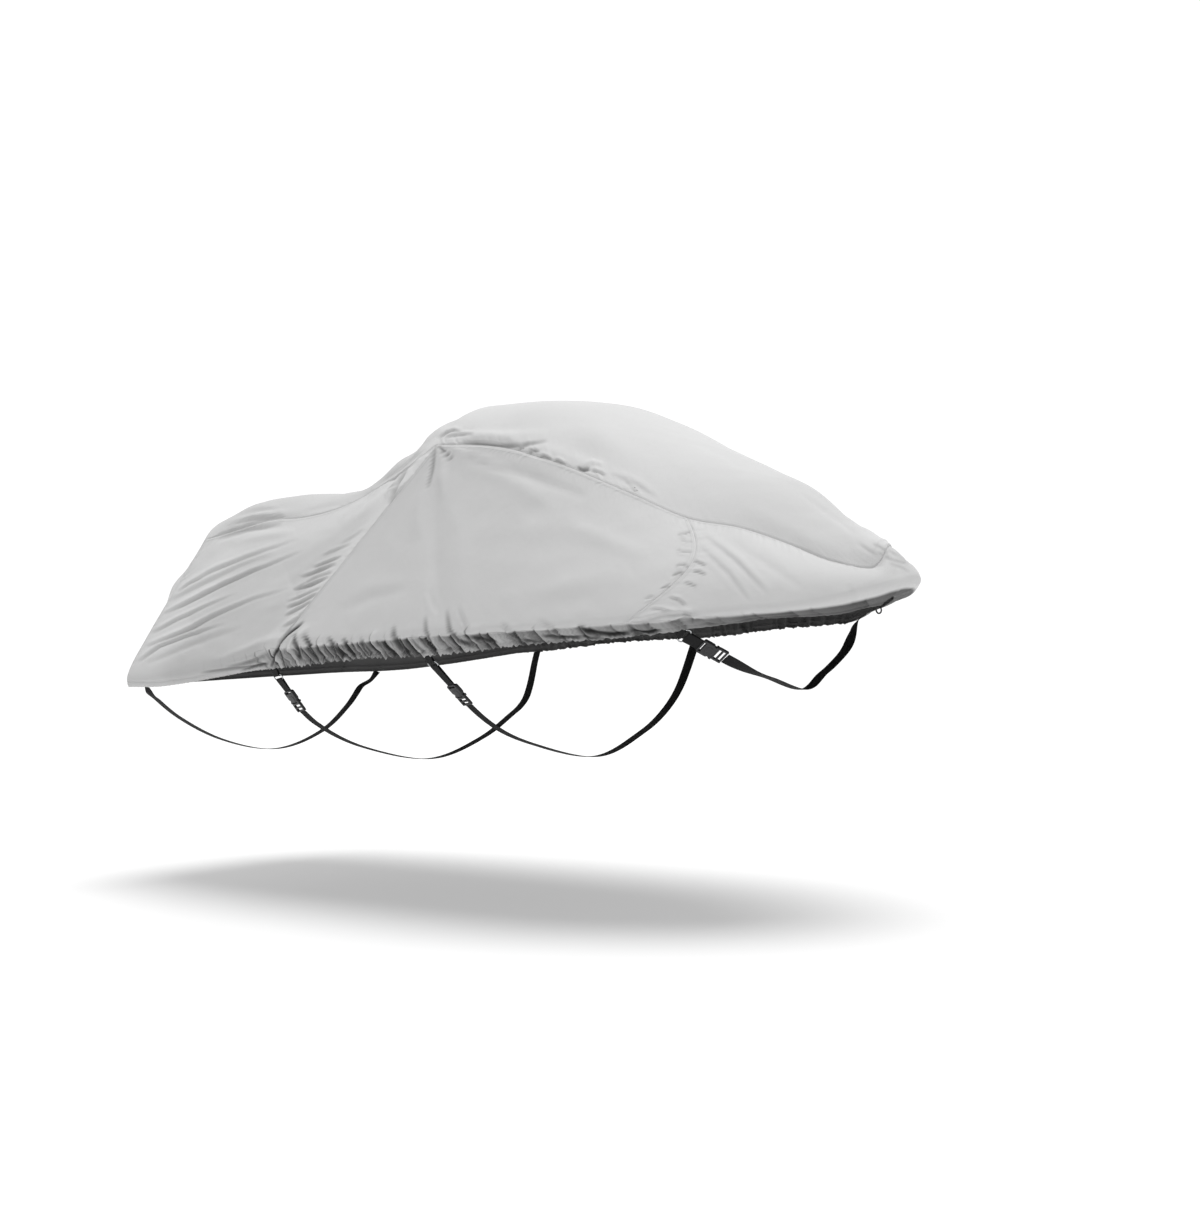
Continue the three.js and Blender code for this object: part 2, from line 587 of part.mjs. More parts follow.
// Rounded oblong loop, counter-clockwise, as long across as the webbing needs
function oblong(width, height, perEnd) {
  const radius = height / 2;
  const half = width / 2 - radius;
  const end = (sign) => Array.from({ length: perEnd + 1 }, (_, i) => {
    const angle = sign * (-Math.PI / 2) + (Math.PI * i) / perEnd;
    return [sign * half + radius * Math.cos(angle), radius * Math.sin(angle)];
  });
  return [...end(1), ...end(-1)];
}

// Half outlines of the buckle halves as shares of their width and length, mirrored to the whole outline
const SOCKET_HALF = [[0.4, 0], [0.5, 0.12], [0.5, 0.5], [0.44, 0.62], [0.5, 0.78], [0.48, 1]];
const PLUG_HALF = [[0.5, 0], [0.5, 0.42], [0.4, 0.9], [0.36, 1]];
const whole = (half) => [...half, ...[...half].reverse().map(([x, y]) => [-x, y])];
const SOCKET_OUTLINE = whole(SOCKET_HALF);
const PLUG_OUTLINE = whole(PLUG_HALF);
const sized = (outline, size, start) => outline.map(([x, y]) => [x * size.width, start + y * size.length]);

// Assembly
const cover = new THREE.Group();
cover.name = "fitted_cover";
cover.position.z = LIFT;

function add(name, geometry, finish) {
  const mesh = new THREE.Mesh(geometry, finish);
  mesh.name = name;
  cover.add(mesh);
}

add("centre_panel", centrePanel(), CLOTH_FINISH);
PANELS.forEach((panel) => add(panel.name, sidePanel(panel), CLOTH_FINISH));

STRAPS.forEach((strap) => {
  const { edge, frame } = fittingFrame(strap);
  const tab = [squareFrame(edge.point, edge.down, edge.run), frame];
  if (strap.upper === 0) {
    const course = strapCourse(strap, 4, frame);
    add(strap.name, webbing([tab[0], ...courseFrames(course, 26)]), WEB_FINISH);
    return;
  }
  const barTop = SEAM_GAP + RING_WIRE / 2;
  const upperStart = barTop + RING_BAR_GAP + RING_WIRE / 2 + SEAM_GAP;
  const socketStart = upperStart + strap.upper + SEAM_GAP;
  const plugStart = socketStart + SOCKET.length + SEAM_GAP;
  const slingStart = plugStart + PLUG.length + SEAM_GAP;
  add(`${strap.name}_tab`, webbing(tab), WEB_FINISH);
  const ringFrame = slideFrame(frame, barTop + RING_BAR_GAP / 2);
  const ringLoop = oblong(WEB_WIDTH + 14, RING_BAR_GAP, 6);
  add(`${strap.name}_ring`, wireRing(ringFrame, ringLoop, RING_WIRE, 6), STEEL_FINISH);
  const upper = [slideFrame(frame, upperStart), slideFrame(frame, upperStart + strap.upper)];
  add(`${strap.name}_upper`, webbing(upper), WEB_FINISH);
  const socket = sized(SOCKET_OUTLINE, SOCKET, socketStart);
  add(`${strap.name}_socket`, plate(frame, socket, SOCKET.thick), BUCKLE_FINISH);
  const plug = sized(PLUG_OUTLINE, PLUG, plugStart);
  add(`${strap.name}_plug`, plate(frame, plug, PLUG.thick), BUCKLE_FINISH);
  const sling = courseFrames(strapCourse(strap, slingStart, frame), 26);
  add(`${strap.name}_sling`, webbing(sling), WEB_FINISH);
});

// Small ring under the nose hem
const noseFrame = {
  point: hemMiddle(NOSE).add(vec(0, 0, -NOSE_RING.radius - NOSE_RING.wire / 2 - CLOTH / 2 - SEAM_GAP)),
  across: vec(1, 0, 0),
  along: vec(0, 0, 1),
  out: vec(0, 1, 0),
};
const noseLoop = Array.from({ length: 16 }, (_, i) => {
  const angle = (2 * Math.PI * i) / 16;
  return [NOSE_RING.radius * Math.cos(angle), NOSE_RING.radius * Math.sin(angle)];
});
add("nose_ring", wireRing(noseFrame, noseLoop, NOSE_RING.wire, 8), RUBBER_FINISH);

export default cover;
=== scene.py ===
"""Fitted cloth cover with under-straps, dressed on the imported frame.

Lengths in the tables are millimetres in the deck frame of the part's source: X to the nose, Y to port, Z from the
level of the side fold. They become metres in the row frame when a mesh is written.
"""

from __future__ import annotations

import logging
from dataclasses import dataclass
from enum import Enum

import bmesh
import bpy
import numpy as np
from mathutils import Matrix, Vector

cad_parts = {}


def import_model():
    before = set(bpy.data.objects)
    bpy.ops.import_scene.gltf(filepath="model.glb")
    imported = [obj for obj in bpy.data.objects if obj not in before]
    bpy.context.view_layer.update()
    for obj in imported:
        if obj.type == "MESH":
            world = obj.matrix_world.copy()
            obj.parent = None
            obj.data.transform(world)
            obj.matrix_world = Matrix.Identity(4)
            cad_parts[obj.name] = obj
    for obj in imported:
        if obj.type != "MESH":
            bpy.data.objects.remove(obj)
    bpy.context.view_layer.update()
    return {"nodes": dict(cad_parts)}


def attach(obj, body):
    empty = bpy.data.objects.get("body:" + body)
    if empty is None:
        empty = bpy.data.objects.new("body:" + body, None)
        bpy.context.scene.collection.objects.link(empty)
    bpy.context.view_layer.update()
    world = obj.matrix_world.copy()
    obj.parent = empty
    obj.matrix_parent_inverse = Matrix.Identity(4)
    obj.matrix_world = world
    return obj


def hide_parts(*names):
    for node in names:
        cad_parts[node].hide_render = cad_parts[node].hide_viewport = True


LOG = logging.getLogger("cover")
Array = np.ndarray
Table = tuple[tuple[float, ...], ...]
Colour = tuple[float, float, float]
Object, Mesh, Material = bpy.types.Object, bpy.types.Mesh, bpy.types.Material
Node, Socket = bpy.types.Node, bpy.types.NodeSocket
Value = Socket | Colour | float

LIFT = -704.0  # from the level of the side fold to the row origin
FILLET_END = 1.55  # share past the fold where the rounding ends
CLOTH = 1.8  # thickness of the cloth sheet
PER_METRE = 1000.0


@dataclass(frozen=True)
class Station:
    """One line of side cloth from the top seam over the side fold to the hem."""

    top: tuple[float, float, float]
    fold: tuple[float, float, float]
    belly: float
    drop: float
    inset: float


STATIONS = (
    Station((-1627, -250, 361), (-1826, -490, -113), 4, 46, 10),
    Station((-1300, -222, 407), (-1560, -545, -108), 12, 48, 20),
    Station((-1053, -220, 408), (-1310, -577, -94), 14, 46, 28),
    Station((-815, -222, 434), (-1085, -591, -70), 10, 50, 30),
    Station((-503, -262, 502), (-890, -598, -44), 4, 58, 32),
    Station((-106, -390, 578), (-712, -602, -24), 0, 70, 32),
    Station((137, -379, 556), (-300, -604, -13), 12, 56, 32),
    Station((387, -365, 492), (80, -602, 0), 20, 62, 34),
    Station((653, -330, 386), (450, -578, 3), 26, 42, 38),
    Station((840, -273, 298), (800, -492, 13), 30, 40, 44),
    Station((991, -221, 262), (1020, -372, 21), 30, 26, 52),
    Station((1114, -170, 213), (1172, -284, 24), 32, 15, 62),
    Station((1226, -113, 156), (1290, -182, 35), 35, 26, 72),
    Station((1314, -48, 132), (1360, -90, 54), 30, 30, 84),
    Station((1338, 0, 178), (1386, 0, 74), 10, 46, 92),
)
NOSE = len(STATIONS) - 1
LAST = 2 * NOSE
PEAK = 5
BOW_SEAM = 9
BOW_SEAM_SWING = 0.5


@dataclass(frozen=True)
class Crown:
    """How the middle of the centre panel stands up and back from its edges."""

    at: float
    rise: float
    aft: float
    full: float


CROWNS = (
    Crown(-2, 0, 70, 2.6),
    Crown(-1, 4, 95, 3.2),
    Crown(-0.45, 14, 122, 4.2),
    Crown(0, 70, 72, 3.4),
    Crown(0.5, 100, 18, 3),
    Crown(1, 101, 0, 2.8),
    Crown(2, 82, 0, 2.6),
    Crown(3, 78, 0, 2.4),
    Crown(4, 112, 0, 2.7),
    Crown(4.6, 126, 0, 3.3),
    Crown(5, 131, 0, 3.5),
    Crown(6, 143, 0, 3.1),
    Crown(7, 157, 0, 2.7),
    Crown(8, 154, 0, 2.5),
    Crown(9, 154, 0, 2.4),
    Crown(10, 121, 0, 2.4),
    Crown(11, 86, 0, 2.4),
    Crown(12, 84, 0, 2.4),
    Crown(13, 68, 0, 2.4),
    Crown(13.6, 24, 0, 2.4),
    Crown(14, 0, 0, 2.4),
)

# Heights that the fold and the tuck of the port half of the bow are drawn up, by station
PORT_LIFTS = ((9, 0, 0), (10, 14, 0), (11, 23, 0), (12, 27, 14), (13, 17, 20), (14, 0, 0))

# Height that the top seam is raised round the tip of the tongue, by station
TIP_LIFTS = ((13.1, 0), (13.6, 4), (14.0, 12), (14.5, 17), (15.0, 16), (15.6, 8), (16.3, 0))


@dataclass(frozen=True)
class StationFold:
    """A long fold of the side cloth from one (station, share down) to another, its half-width and height outward."""

    start: tuple[float, float]
    end: tuple[float, float]
    width: float
    depth: float

    PER_STATION = 215.0  # mean distance in mm between stations, and from seam to fold
    PER_SHARE = 560.0

    def lift(self, q: Array, v: Array) -> Array:
        """Bell over the distance from the fold's line, tapered at both ends."""
        ax = (self.end[0] - self.start[0]) * self.PER_STATION
        ay = (self.end[1] - self.start[1]) * self.PER_SHARE
        px = (q - self.start[0]) * self.PER_STATION
        py = (v - self.start[1]) * self.PER_SHARE
        along = (px * ax + py * ay) / (ax * ax + ay * ay)
        off = (px * ay - py * ax) / np.hypot(ax, ay)
        taper = smooth(-0.12, 0.25, along) * (1 - smooth(0.7, 1.15, along))
        return self.depth * taper * bell(off / self.width)


STATION_FOLDS = (
    StationFold((25.0, 0.5), (27.8, 0.74), 34, 9),
    StationFold((25.8, 0.26), (27.8, 0.5), 30, 8),
    StationFold((23.6, 0.6), (24.6, 0.84), 24, 7),
    StationFold((21.8, 0.8), (22.75, 0.1), 60, 8),
    StationFold((13.7, 0.12), (16.6, 0.12), 150, 4),
    StationFold((14.0, 0.22), (15.6, 0.36), 75, 3),
)


@dataclass(frozen=True)
class Swell:
    """A soft swelling of the centre panel, a bell of a given spread and height."""

    row: float
    across: float
    spread: float
    height: float


CENTRE_SWELLS = (
    Swell(-0.4, -0.8, 70, 34),
    Swell(0.35, -0.2, 150, 9),
    Swell(6.2, -0.62, 90, 10),
    Swell(7.3, -0.7, 70, 8),
    Swell(5.3, 0.55, 110, 9),
    Swell(1.1, -0.15, 160, -8),
    Swell(3.85, -0.7, 90, 10),
    Swell(4.5, -0.72, 110, 21),
    Swell(7.0, 0.38, 150, -13),
    Swell(7.75, 0.47, 160, -15),
    Swell(8.3, 0.5, 120, -8),
    Swell(12.2, 0.35, 90, 8),
)


class Profile(Enum):
    """Cross profile of a crease."""

    RIDGE = "ridge"
    TROUGH = "trough"
    TUCK = "tuck"

    def shape(self, x: Array) -> Array:
        """Height by the distance in half-widths: a bell, a bell down, or a lip, a sharp valley and a low bank."""
        if self is Profile.TUCK:
            return 0.6 * bell((x + 1.5) / 1.2) - 0.7 * bell(x / 0.8) + 0.15 * bell((x - 1.8) / 1.2)
        return bell(x) if self is Profile.RIDGE else -bell(x)


@dataclass(frozen=True)
class Crease:
    """A fold along a line of photograph pixels: height in mm, half-width in pixels, painted shade in its valley, fading
    to its end.
    """

    line: tuple[tuple[float, float], ...]
    height: float
    width: float
    dark: float = 0.0
    fade: float = 0.0
    profile: Profile = Profile.TUCK

    TAPER = 0.75  # power of the taper to both ends
    DARK_TAPER = 1.5  # how much sooner the painted shade is full

    def nearest(self, pixels: Array) -> tuple[Array, Array]:
        """Signed distance of points from the line in pixels, and the share along it of their nearest place."""
        line = np.array(self.line, float)
        steps = np.diff(line, axis=0)
        lengths = np.linalg.norm(steps, axis=1)
        best = np.full(pixels.shape[:-1], np.inf)
        signed, along = np.zeros_like(best), np.zeros_like(best)
        for a, step, length, end in zip(line, steps, lengths, np.cumsum(lengths)):
            d = pixels - a
            t = np.clip((d @ step) / length**2, 0, 1)
            off = np.linalg.norm(d - t[..., None] * step, axis=-1)
            near = off < best
            best = np.where(near, off, best)
            signed = np.where(near, off * np.sign(step[0] * d[..., 1] - step[1] * d[..., 0]), signed)
            along = np.where(near, (end - (1 - t) * length) / lengths.sum(), along)
        return signed, along

    def relief(self, pixels: Array) -> tuple[Array, Array]:
        """Lift by the cross profile and painted shade by a flat-topped bell, both tapered to the ends of the line.

        Args:
            pixels: photograph pixels of the cloth's points.

        Returns:
            Lift in millimetres and painted shade, 0 to 1.
        """
        signed, along = self.nearest(pixels)
        x = signed / self.width
        ends = np.clip(4 * along * (1 - along), 0, 1) ** self.TAPER
        fade = 1 - self.fade * along
        core = np.exp(-(np.abs(x) ** 3))
        dark = self.dark * np.minimum(self.DARK_TAPER * ends, 1) * fade * core
        return self.height * ends * fade * self.profile.shape(x), dark


FOOT = ((304, 620), (297, 627), (288, 634), (280, 643), (275, 654), (271, 669))

REAR_CREASES = (
    Crease(((164, 614), (199, 597), (225, 584), (254, 571), (290, 556), (306, 549)), 16, 1.8, 0.18, 0.75),
    Crease(((190, 582), (222, 567), (250, 556), (300, 538)), 11, 2.0, 0.12, 0.7),
    Crease(((168, 602), (205, 583), (240, 566), (276, 553)), 8, 2.4, 0.08, 0.6),
    Crease(((146, 647), (183, 632), (216, 617), (258, 600), (292, 588)), 14, 1.9, 0.14, 0.75),
    Crease(((152, 633), (178, 619), (206, 607), (240, 594)), 11, 1.7, 0.18, 0.75),
    Crease(((138, 662), (160, 646), (190, 635), (230, 624)), 12, 1.7, 0.18, 0.75),
    Crease(((146, 664), (190, 645), (246, 627)), 7, 3.0, 0.06, 0.6),
    Crease(((178, 592), (190, 583), (206, 576)), 6, 1.5, 0.14),
    Crease(((216, 540), (246, 529), (282, 524)), 9, 2.6, 0.12, profile=Profile.TROUGH),
    Crease(((232, 543), (262, 535), (296, 530)), 5, 4.0, profile=Profile.RIDGE),
    Crease(((196, 628), (240, 606), (292, 584)), 12, 20, profile=Profile.RIDGE),
    Crease(((214, 662), (250, 648), (282, 634)), 8, 4.5, profile=Profile.RIDGE),
    Crease(((226, 667), (252, 660), (269, 653)), 8, 1.9, 0.4),
    Crease(((200, 672), (236, 667), (267, 663)), 6, 1.6, 0.5),
    Crease(((240, 671), (256, 665), (270, 662)), 6, 1.7, 0.8),
    Crease(((283, 627), (295, 620), (307, 611)), 6, 1.5, 0.2),
    Crease(((285, 616), (300, 608), (312, 600)), 6, 1.4, 0.24),
    Crease(((287, 608), (302, 602), (318, 592)), 7, 1.5, 0.26),
    Crease(((288, 602), (306, 594), (323, 586)), 5, 1.3, 0.16),
    Crease(((293, 590), (310, 585), (329, 576)), 8, 1.6, 0.26),
    Crease(((298, 587), (316, 578), (333, 571)), 5, 1.4, 0.18),
    Crease(((300, 577), (318, 571), (337, 563)), 7, 1.6, 0.22),
    Crease(((313, 567), (328, 562), (343, 555)), 7, 1.5, 0.2),
    Crease(((322, 556), (338, 549), (351, 543)), 4, 1.5, 0.1),
    Crease(((340, 545), (354, 536), (364, 528)), 3, 1.6, 0.08),
    Crease(((410, 466), (399, 485), (388, 505)), 11, 2.0, 0.35),
    Crease(((428, 453), (405, 473), (386, 497)), 8, 3.0, profile=Profile.RIDGE),
    Crease(((420, 460), (394, 477), (367, 488)), 8, 1.8, 0.2, profile=Profile.TROUGH),
    Crease(((404, 478), (396, 486), (388, 490)), 5, 1.4, 0.2),
    Crease(((400, 483), (372, 506), (340, 524)), 5, 7, profile=Profile.RIDGE),
    Crease(FOOT, 9, 1.7, 0.95),
)

MID_CREASES = (
    Crease(((435, 446), (432, 466), (428, 488)), 8, 1.6, 0.3, profile=Profile.TROUGH),
    Crease(((438, 445), (445, 451), (453, 460)), 7, 1.7, 0.3, profile=Profile.TROUGH),
    Crease(((441, 452), (442, 470), (442, 500)), 6, 4, profile=Profile.RIDGE),
    Crease(((428, 470), (420, 500), (414, 540)), 5, 6, profile=Profile.RIDGE),
    Crease(((436, 480), (434, 550), (437, 622)), 7, 9, profile=Profile.TROUGH),
    Crease(((456, 490), (460, 550), (458, 620)), 4, 11, profile=Profile.RIDGE),
    Crease(((450, 447), (480, 456), (512, 470)), 6, 2.4, profile=Profile.RIDGE),
    Crease(((466, 456), (520, 472), (590, 497)), 5, 5, 0.04, profile=Profile.TROUGH),
    Crease(((455, 456), (520, 484), (560, 510)), 4, 9, profile=Profile.RIDGE),
    Crease(((500, 600), (560, 588), (630, 566)), 4, 12, profile=Profile.RIDGE),
    Crease(((560, 520), (610, 540), (650, 556)), 4, 9, profile=Profile.RIDGE),
    Crease(((340, 612), (372, 596), (410, 588)), 4, 6),
    Crease(FOOT, 9, 1.7, 0.95),
    Crease(((310, 624), (297, 638), (287, 652), (282, 666)), 10, 3.0, profile=Profile.RIDGE),
    Crease(((301, 660), (297, 645), (296, 632)), 7, 2.0, 1.0, 0.3),
    Crease(((320, 660), (311, 647), (304, 633)), 7, 2.3, 1.0, 0.2),
    Crease(((347, 658), (336, 647), (327, 636)), 6, 2.2, 1.0, 0.3),
    Crease(((358, 657), (350, 647), (342, 637)), 6, 2.0, 1.0, 0.3),
    Crease(((374, 656), (366, 646), (359, 637)), 5, 1.8, 0.85, 0.4),
    Crease(((414, 656), (401, 645), (394, 635), (393, 624)), 7, 2.3, 1.0, 0.5),
    Crease(((431, 656), (419, 646), (410, 636)), 5, 1.8, 0.8, 0.4),
    Crease(((440, 654), (431, 642), (426, 630), (425, 614)), 7, 1.9, 0.95, 0.7),
    Crease(((476, 645), (459, 639), (450, 630), (446, 608)), 8, 2.2, 1.0, 0.7),
    Crease(((470, 634), (463, 620), (458, 606)), 5, 2.6, 0.06),
    Crease(((440, 614), (432, 604), (428, 590)), 3, 2.4),
    Crease(((498, 641), (484, 638), (470, 635)), 4, 1.8, 0.85),
    Crease(((520, 634), (508, 628), (500, 620)), 5, 2.0, 0.1),
    Crease(((560, 630), (548, 624), (538, 618)), 5, 2.0, 0.08),
    Crease(((576, 625), (586, 629), (598, 632), (614, 633), (634, 631)), 4, 2.7, 1.0),
    Crease(((582, 634), (591, 637), (601, 638)), 3, 2.2, 1.0),
    Crease(((540, 634), (560, 636), (584, 636)), 4, 1.9, 0.85),
    Crease(((520, 638), (540, 641), (562, 641)), 3, 1.7, 0.8),
    Crease(((692, 530), (684, 533), (677, 533)), 5, 1.2, 0.3),
    Crease(((693, 541), (686, 541), (680, 538)), 4, 1.1, 0.2),
    Crease(((693, 551), (684, 551), (676, 548)), 5, 1.2, 0.25),
    Crease(((691, 566), (683, 564), (675, 565)), 5, 1.2, 0.35),
    Crease(((688, 574), (680, 572), (672, 574)), 5, 1.3, 0.45),
    Crease(((676, 588), (668, 585), (661, 587)), 5, 1.3, 0.4),
    Crease(((662, 599), (652, 596), (644, 598)), 4, 1.5, 0.1),
)

BOW_CREASES = (
    Crease(((702, 534), (735, 560), (768, 594)), 4, 3.2, 0.03),
    Crease(((698, 545), (728, 573), (750, 602)), 3, 3.0, 0.03),
    Crease(((722, 534), (762, 560), (806, 590)), 3, 6.0),
    Crease(((693, 560), (700, 562), (706, 565)), 5, 1.2, 0.3),
    Crease(((693, 570), (699, 571), (706, 574)), 5, 1.2, 0.35),
    Crease(((684, 581), (690, 583), (697, 586)), 4, 1.2, 0.25),
    Crease(((668, 596), (678, 599), (686, 605)), 4, 1.5, 0.12),
    Crease(((650, 608), (662, 609), (674, 613)), 4, 1.5, 0.1),
    Crease(((636, 622), (664, 614), (700, 613)), 6, 2.4, 0.12),
    Crease(((668, 622), (684, 617), (706, 619)), 8, 1.8, 0.3),
    Crease(((682, 612), (690, 615), (694, 622)), 6, 1.6, 0.4),
    Crease(((700, 621), (726, 624), (748, 619)), 6, 1.8, 0.4),
    Crease(((628, 630), (644, 630.5), (662, 629)), 3, 2.0, 1.0),
    Crease(((646, 635), (654, 635), (662, 633)), 3, 1.8, 0.9),
    Crease(((868, 541), (878, 549), (888, 553)), 2, 1.7, 0.1),
    Crease(((884, 556), (896, 560), (908, 563)), 0.8, 1.5, 0.16),
    Crease(((888, 562), (900, 566), (910, 571)), 0.8, 1.8, 0.1),
    Crease(((890, 552), (899, 555), (907, 560)), 1, 1.6, 0.08),
    Crease(((848, 582), (850, 590), (856, 598)), 2, 4.0, 0.02, profile=Profile.TROUGH),
)

CENTRE_CREASES = (
    Crease(((438, 438), (445, 433), (454, 430), (462, 431)), 7, 1.6, 0.3),
    Crease(((445, 437), (460, 434), (476, 435)), 7, 1.7, 0.2),
    Crease(((458, 443), (476, 442.5), (497, 445), (521, 445.5), (548, 440)), 6, 2.2, 0.42, profile=Profile.TROUGH),
    Crease(((470, 435), (500, 436), (548, 433)), 6, 5, profile=Profile.RIDGE),
    Crease(((516, 451), (520, 448), (525, 447)), 5, 1.3, 0.4),
    Crease(((528, 453), (533, 450), (540, 451)), 5, 1.3, 0.3),
    Crease(((536, 457), (544, 455), (552, 459)), 5, 1.3, 0.3),
    Crease(((551, 462), (558, 460), (566, 464)), 5, 1.3, 0.3),
    Crease(((577, 467), (583, 469), (590, 468)), 8, 2.2, 0.6, profile=Profile.TROUGH),
    Crease(((584, 463), (592, 461), (604, 463)), 5, 2.4, profile=Profile.RIDGE),
    Crease(((590, 470), (598, 471), (606, 475)), 5, 1.5, 0.25),
    Crease(((624, 480), (630, 484), (636, 492)), 4, 1.6, 0.14),
    Crease(((610, 474), (634, 483), (655, 497)), 4, 3.0, 0.04),
    Crease(((222, 528), (250, 520), (288, 516)), 8, 2.4, 0.16),
    Crease(((232, 518), (256, 510), (278, 507)), 6, 2.4, 0.08),
    Crease(((300, 512), (340, 503), (370, 490)), 4, 2.8),
    Crease(((372, 488), (396, 472), (424, 450)), 7, 2.0, 0.14),
    Crease(((392, 466), (412, 454), (434, 438)), 6, 2.4, 0.06),
    Crease(((540, 424), (600, 440), (660, 466)), 4, 12, profile=Profile.RIDGE),
    Crease(((740, 505), (800, 532), (850, 556)), 4, 9, profile=Profile.RIDGE),
    Crease(((800, 492), (830, 514), (858, 536)), 5, 3.0, 0.08),
    Crease(((690, 436), (720, 452), (752, 470)), 4, 5),
    Crease(((872, 543), (880, 547), (888, 552)), 1.5, 1.8, 0.1),
    Crease(((878, 552), (886, 556), (892, 558)), 1.2, 1.7, 0.1),
    Crease(((856, 542), (868, 550), (878, 556)), 2, 2.4, 0.03),
)


# Pleats drawn in by the elastic: station, pitch along the hem and depth
GATHERS = (
    (0, 120, 0.0), (3.6, 70, 0.5), (4.5, 40, 3.0), (5.0, 36, 6.0), (6.2, 38, 7.0),
    (7.4, 42, 6.5), (8.3, 48, 5.0), (9.0, 60, 3.0), (10.0, 70, 1.2), (14, 90, 0.5),
)
# Depth of the top seam's groove on the starboard side, by row along it
TOP_GROOVES = (
    (-2, 0.8), (0, 0.8), (0.25, 4.5), (0.8, 4.5), (1.4, 1.2), (4.6, 1.0), (5, 1.0), (5.25, 3.5), (5.7, 5.5), (6.1, 3.5),
    (6.5, 2.5), (6.75, 5.5), (7.0, 2.2), (7.6, 1.2), (8.4, 0.9), (9, 0.8), (13.4, 0.8), (13.7, 0.3), (14, 0.3),
)
# Roll of slack cloth on the centre panel beside the starboard seam, by row along it
TOP_ROLLS = ((-2, 0), (0.1, 0), (0.5, 8), (1.3, 5), (2, 0), (5, 0), (5.5, 6), (6.4, 6), (7.2, 3), (8, 0), (14, 0))
# Depth of the groove of the slanted starboard seam at the peak, by share down, and the painted shade in it
PEAK_GROOVES = ((0, 1.2, 0), (0.84, 1.4, 0), (0.9, 4, 0.3), (0.96, 7, 0.85), (1.5, 8, 0.9), (2, 4, 0.8))
# Length of cloth that rounds the side fold, by station
FILLETS = ((0, 95), (2.6, 90), (4.6, 40), (5.4, 26), (9, 22), (14, 30))
# Painted shade of the tuck: how much darker it is than the rest, by station, and the shares down where that starts and
# is full
TUCK_SHADES = (
    (0, 0.06, 0.97, 1.5), (3.2, 0.1, 0.97, 1.5), (4.5, 0.35, 1.0, 1.3), (5.0, 0.62, 0.99, 1.24),
    (6.0, 0.64, 0.99, 1.2), (7.0, 0.62, 1.0, 1.14), (8.3, 0.6, 1.0, 1.14), (9.2, 0.62, 1.0, 1.25),
    (10.4, 0.84, 1.0, 1.35), (12, 0.9, 1.0, 1.26), (14, 0.92, 1.0, 1.26),
)
NOSE_SHADE = 0.08  # painted shade on the upper cloth of the nose, how much darker it is
REAR_SHADE = 0.18  # painted shade on the lower part of the rear panel, how much darker it is


DRAWN_FROM = (0.98, 1.12)  # shares down where the elastic starts to draw and draws fully


def smooth(low: float | Array, high: float | Array, t: Array) -> Array:
    """Smooth step: 0 below low, 1 above high, three t squared minus two t cubed between."""
    u = np.clip((t - low) / (high - low), 0.0, 1.0)
    return u * u * (3.0 - 2.0 * u)


def bell(x: Array) -> Array:
    """Bell: e to the power of minus x squared."""
    return np.exp(-(x * x))


def unit(v: Array) -> Array:
    """Vectors scaled to length one."""
    return v / np.maximum(np.linalg.norm(v, axis=-1, keepdims=True), 1e-12)


def signed_power(x: Array, power: float) -> Array:
    """Power of each number's size, with the number's own sign."""
    return np.sign(x) * np.abs(x) ** power


def full_turn(count: int) -> Array:
    """Even angles round a full turn."""
    return np.linspace(0, 2 * np.pi, count, endpoint=False)


def read(table: Table, at: Array | float, column: int = 1) -> Array:
    """Values of a table's column at places of its first column, straight between its rows."""
    columns = np.array(table, float).T
    return np.interp(at, columns[0], columns[column])


def mirrored(q: Array) -> Array:
    """Stations of the port half given as the starboard stations across from them."""
    return np.where(q > NOSE, LAST - q, q)


def hermite(a: Array, b: Array, leave: Array, reach: Array, t: Array) -> Array:
    """Cubic from a to b by the share t, with the slopes that leave a and reach b."""
    t2, t3 = t * t, t * t * t
    slopes = leave * (t3 - 2 * t2 + t) + reach * (t3 - t2)
    return a * (2 * t3 - 3 * t2 + 1) + b * (3 * t2 - 2 * t3) + slopes


def curve_table(at: Array, xs: Array, ys: Array) -> Array:
    """Cubic through table points, with the slope at each from its two neighbours.

    Args:
        at: places to read.
        xs: table places, rising.
        ys: table values.

    Returns:
        The values at those places, held at the ends of the table.
    """
    slopes = np.gradient(ys, xs)
    x = np.clip(at, xs[0], xs[-1])
    k = np.clip(np.searchsorted(xs, x, side="right") - 1, 0, len(xs) - 2)
    h = xs[k + 1] - xs[k]
    return hermite(ys[k], ys[k + 1], slopes[k] * h, slopes[k + 1] * h, (x - xs[k]) / h)


def wander(at: Array, pitch: float, seed: int) -> Array:
    """Uneven wave along a line: three sines of unlike lengths near a pitch, from -1 to 1."""
    rng = np.random.default_rng(seed)
    lengths = pitch * np.array((0.71, 1.0, 1.63)) * rng.uniform(0.9, 1.1, 3)
    phases = rng.uniform(0, 2 * np.pi, 3)
    return sum(np.sin(2 * np.pi * at / length + phase) for length, phase in zip(lengths, phases)) / 3


def travelled(points: Array, axis: int) -> Array:
    """Distance along the grid lines of an axis, or along a line of points, from the first point."""
    steps = np.linalg.norm(np.diff(points, axis=axis), axis=-1)
    pad = [(0, 0)] * steps.ndim
    pad[axis] = (1, 0)
    return np.pad(np.cumsum(steps, axis=axis), pad)


